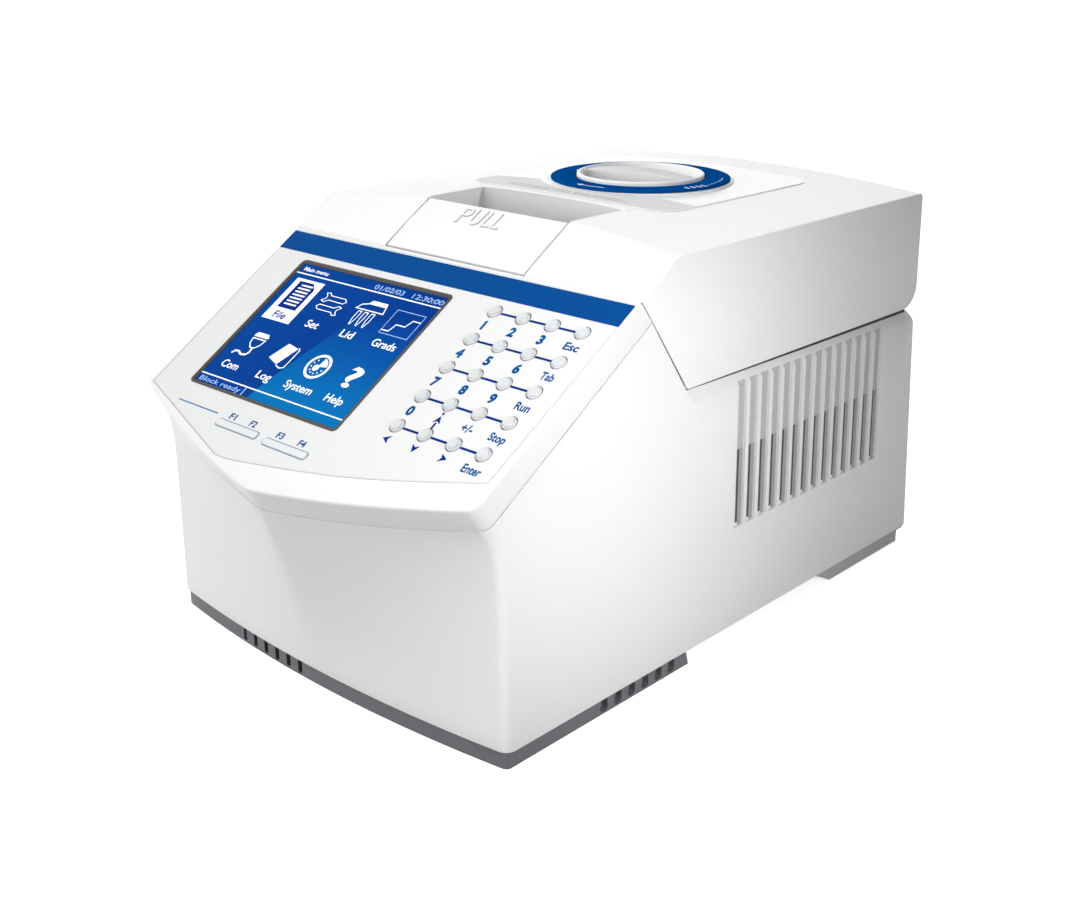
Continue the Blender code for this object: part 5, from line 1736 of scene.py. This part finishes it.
inlet = make("inlet_shell", from_loops([
    [back(x, u, o) for x, u in round_rect(-92 - w, -92 + w, 44 - h, 44 + h,
                                          r, 5)]
    for w, h, r, o in ((13.3, 9.9, 1.5, -28), (13.3, 9.9, 1.5, -3.0),
                       (15.6, 12.4, 2.5, -3.0), (15.6, 12.4, 2.5, -1.5),
                       (15.1, 11.9, 2.2, -1.0))]), BLACK, "body",
             ["power_inlet"], smooth=None)
cut(inlet, prism(round_poly(((-103.5, 35.9), (-80.5, 35.9), (-80.5, 47.5),
                             (-84.5, 52.1), (-99.5, 52.1), (-103.5, 47.5)),
                            1.0, 4), -18, 4, back))
finish_mesh(inlet, 30)
pins = []
for x, u in ((-98.5, 41.5), (-85.5, 41.5), (-92.0, 46.5)):
    pins.append(from_loops([
        [back(a, b, o) for a, b in round_rect(x - 1.0 + e, x + 1.0 - e,
                                              u - 2.0 + e, u + 2.0 - e, 0.45,
                                              3)]
        for e, o in ((0.0, -18.2), (0.0, -6.0), (0.3, -5.0))]))
make("inlet_pins", pins, BRASS, "body", smooth=35)

tongue = prism(round_rect(88.9, 95.1, 41.0, 42.6, 0.3, 3), -14.6, -3.4, back)
make("port_tongue", tongue, PALE, "body", smooth=30)
contacts = [prism(((89.8 + 1.4 * k, 40.85), (90.5 + 1.4 * k, 40.85),
                   (90.5 + 1.4 * k, 41.02), (89.8 + 1.4 * k, 41.02)),
                  -13.0, -4.5, back) for k in range(4)]
make("port_contacts", contacts, BRASS, "body",
     smooth=None)

# I and O on the rocker switch, following its tilt
SW = (-56.0, 44.0)
T8 = math.radians(8.0)


def on_switch(x, u, o):
    xx = x - SW[0]
    f = 2.0 + 0.0 * xx
    a = abs(xx)
    f = 2.0 + (0.3 * a / 3.5 if a < 3.5 else 0.3 + 0.9 * (a - 3.5) / 3.9)
    oo = f + o
    return back(SW[0] + xx * math.cos(T8) - oo * math.sin(T8), u,
                -5.5 + xx * math.sin(T8) + oo * math.cos(T8))


make("switch_marks", [
    ribbon([(-61.2, 42.2), (-61.2, 45.8)], 0.5, -0.02, 0.05, on_switch),
    ribbon([(-51.0 + 1.2 * math.cos(2 * math.pi * k / 20),
             44.0 + 1.7 * math.sin(2 * math.pi * k / 20))
            for k in range(20)], 0.45, -0.02, 0.05, on_switch,
           closed=True)], PALE, "switch", smooth=None)

# -------------------------------------------------------------- underside
feet = []
for x, y in ((-118, -84), (118, -84), (-118, 236), (118, 236)):
    feet.append(turned(((0.3, -2.1), (7.6, -2.1), (7.6, -8.8), (6.9, -9.8),
                        (6.0, -9.98), (0.3, -9.98)), x, y, 36))
make("rubber_feet", feet, RUBBER, "body", smooth=35)
screws = []
for x, y in ((-100, -60), (100, -60), (-100, 60), (100, 60), (-100, 214),
             (100, 214)):
    screws.append(turned(((0.2, -1.9), (3.2, -1.9), (3.1, -3.0),
                          (2.4, -3.5), (1.3, -3.5), (1.1, -2.7),
                          (0.2, -2.7)), x, y, 24))
make("base_screws", screws, STEEL, "body", smooth=35)

# ----------------------------------------- finishes for the kept CAD nodes
KEPT = {
    STEEL: ("hinge_bracket_left", "hinge_bracket_right", "latch_catch",
            "chassis_bracket_left", "chassis_bracket_right", "power_supply",
            "data_port", "knob_bridge"),
    ROD: ("hinge_rod", "latch_pin_left", "latch_pin_right", "lead_screw"),
    ALU: ("heatsink",),
    BLACK: ("fan_frame", "fan_rotor", "switch_frame", "power_switch",
            "plate_carrier", "lcd_module"),
    PCB: ("main_board", "keypad_board"),
    CERAMIC: ("peltier_array",),
}
for mat, names in KEPT.items():
    for name in names:
        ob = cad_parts[name]
        ob.data.materials.clear()
        ob.data.materials.append(mat)

# --------------------------------------------------------- floor and light
floor_mat, nt, bsdf = new_material("studio_floor")
v = coords(nt)
n = noise(nt, v, 3.0, 2.0)
link(nt, tint(nt, n, (0.83, 0.83, 0.835), (0.85, 0.85, 0.855)),
     bsdf.inputs["Base Color"])
bsdf.inputs["Roughness"].default_value = 0.75
bsdf.inputs["Specular IOR Level"].default_value = 0.2
# the far floor is a lit backdrop: it brightens with distance from the object
tc = nt.nodes.new("ShaderNodeTexCoord")
far = nt.nodes.new("ShaderNodeVectorMath")
far.operation = "LENGTH"
link(nt, tc.outputs["Object"], far.inputs[0])
glow = spread(nt, far.outputs["Value"], 0.72, 0.85, 0.25, 3.0)
link(nt, glow, bsdf.inputs["Emission Strength"])
bsdf.inputs["Emission Color"].default_value = (1, 1, 1, 1)

bm = bmesh.new()
sweep = [(-30.0, 0.0), (60.0, 0.0)]
SIDE = Vector((math.cos(math.radians(42.64)), math.sin(math.radians(42.64)),
               0))
AWAY = Vector((-math.sin(math.radians(42.64)), math.cos(math.radians(42.64)),
               0))
rows_v = [[bm.verts.new(SIDE * u + AWAY * d + Vector((0, 0, z)))
           for d, z in sweep] for u in (-40.0, 40.0)]
for i in range(len(sweep) - 1):
    bm.faces.new((rows_v[0][i], rows_v[1][i], rows_v[1][i + 1],
                  rows_v[0][i + 1]))
bmesh.ops.recalc_face_normals(bm, faces=bm.faces[:])
me = bpy.data.meshes.new("studio_floor")
bm.to_mesh(me)
bm.free()
me.materials.append(floor_mat)
me.shade_smooth()
floor = bpy.data.objects.new("studio_floor", me)
scene.collection.objects.link(floor)
floor.visible_diffuse = False

# a plain white studio wall, far out, so that no view runs off the floor
wall_mat, nt, bsdf = new_material("studio_wall")
n = noise(nt, coords(nt), 0.4, 1.0)
link(nt, tint(nt, n, (0.84, 0.84, 0.84), (0.86, 0.86, 0.86)),
     bsdf.inputs["Base Color"])
bsdf.inputs["Roughness"].default_value = 0.9
bsdf.inputs["Specular IOR Level"].default_value = 0.0
bsdf.inputs["Emission Color"].default_value = (1, 1, 1, 1)
bsdf.inputs["Emission Strength"].default_value = 0.95
bm = bmesh.new()
rings = [[bm.verts.new((28.0 * math.cos(2 * math.pi * i / 48),
                        28.0 * math.sin(2 * math.pi * i / 48), z))
          for i in range(48)] for z in (-0.5, 30.0)]
for i in range(48):
    j = (i + 1) % 48
    bm.faces.new((rings[0][i], rings[1][i], rings[1][j], rings[0][j]))
me = bpy.data.meshes.new("studio_wall")
bm.to_mesh(me)
bm.free()
me.materials.append(wall_mat)
me.shade_smooth()
studio_wall = bpy.data.objects.new("studio_wall", me)
scene.collection.objects.link(studio_wall)
studio_wall.visible_diffuse = False
studio_wall.visible_glossy = False
studio_wall.visible_shadow = False


def area(name, place, aim, size, power, colour=(1, 1, 1), size_y=None,
         spread_deg=180):
    li = bpy.data.lights.new(name, "AREA")
    li.shape = "RECTANGLE" if size_y else "SQUARE"
    li.size = size
    if size_y:
        li.size_y = size_y
    li.energy = power
    li.color = colour
    li.spread = math.radians(spread_deg)
    ob = bpy.data.objects.new(name, li)
    ob.location = place
    d = Vector(aim) - Vector(place)
    ob.rotation_euler = d.to_track_quat("-Z", "Y").to_euler()
    scene.collection.objects.link(ob)
    ob.visible_camera = False
    return ob


def sun(name, direction, strength, angle):
    li = bpy.data.lights.new(name, "SUN")
    li.energy = strength
    li.angle = math.radians(angle)
    ob = bpy.data.objects.new(name, li)
    ob.rotation_euler = (-Vector(direction)).to_track_quat(
        "-Z", "Y").to_euler()
    scene.collection.objects.link(ob)
    ob.visible_glossy = False
    return ob


area("key", (0.47, -0.18, 0.25), (0.13, -0.06, 0.12), 0.22, 0.42,
     spread_deg=90)
sun("soft_sky", (-0.65, -0.25, 1.1), 2.0, 45)
sun("front_fill", (-0.25, -1.0, 0.08), 2.1, 30)
sun("top_back", (-0.1, 0.6, 1.0), 0.52, 30)
area("back_wall", tuple(AWAY * 2.4 + Vector((0, 0, 0.75))), (0, 0, 0.25),
     5.0, 23.0, size_y=1.5)

world = bpy.data.worlds.new("studio")
scene.world = world
world.use_nodes = True
bg = world.node_tree.nodes["Background"]
bg.inputs["Color"].default_value = (1.0, 1.0, 1.0, 1.0)
bg.inputs["Strength"].default_value = 0.16

# ------------------------------------------------------------------ camera
yaw, pitch, roll = (math.radians(d) for d in (42.64, 20.40, 0.18))
fwd = -Vector((math.sin(yaw) * math.cos(pitch),
               -math.cos(yaw) * math.cos(pitch), math.sin(pitch)))
right = fwd.cross(Vector((0, 0, 1))).normalized()
up = right.cross(fwd)
r2 = math.cos(roll) * right + math.sin(roll) * up
u2 = -math.sin(roll) * right + math.cos(roll) * up
T = Vector((551.43, -525.55 + SHIFT_Y, 380.93 + FOOT)) * MM
cam_data = bpy.data.cameras.new("camera")
cam_data.sensor_fit = "HORIZONTAL"
cam_data.sensor_width = 36.0
cam_data.lens = 1404.27 / 1080.0 * 36.0
cam_data.clip_start = 0.01
camera = bpy.data.objects.new("camera", cam_data)
camera.matrix_world = Matrix(((r2.x, u2.x, -fwd.x, T.x),
                              (r2.y, u2.y, -fwd.y, T.y),
                              (r2.z, u2.z, -fwd.z, T.z),
                              (0, 0, 0, 1)))
scene.collection.objects.link(camera)
scene.camera = camera
scene.view_settings.view_transform = "Standard"
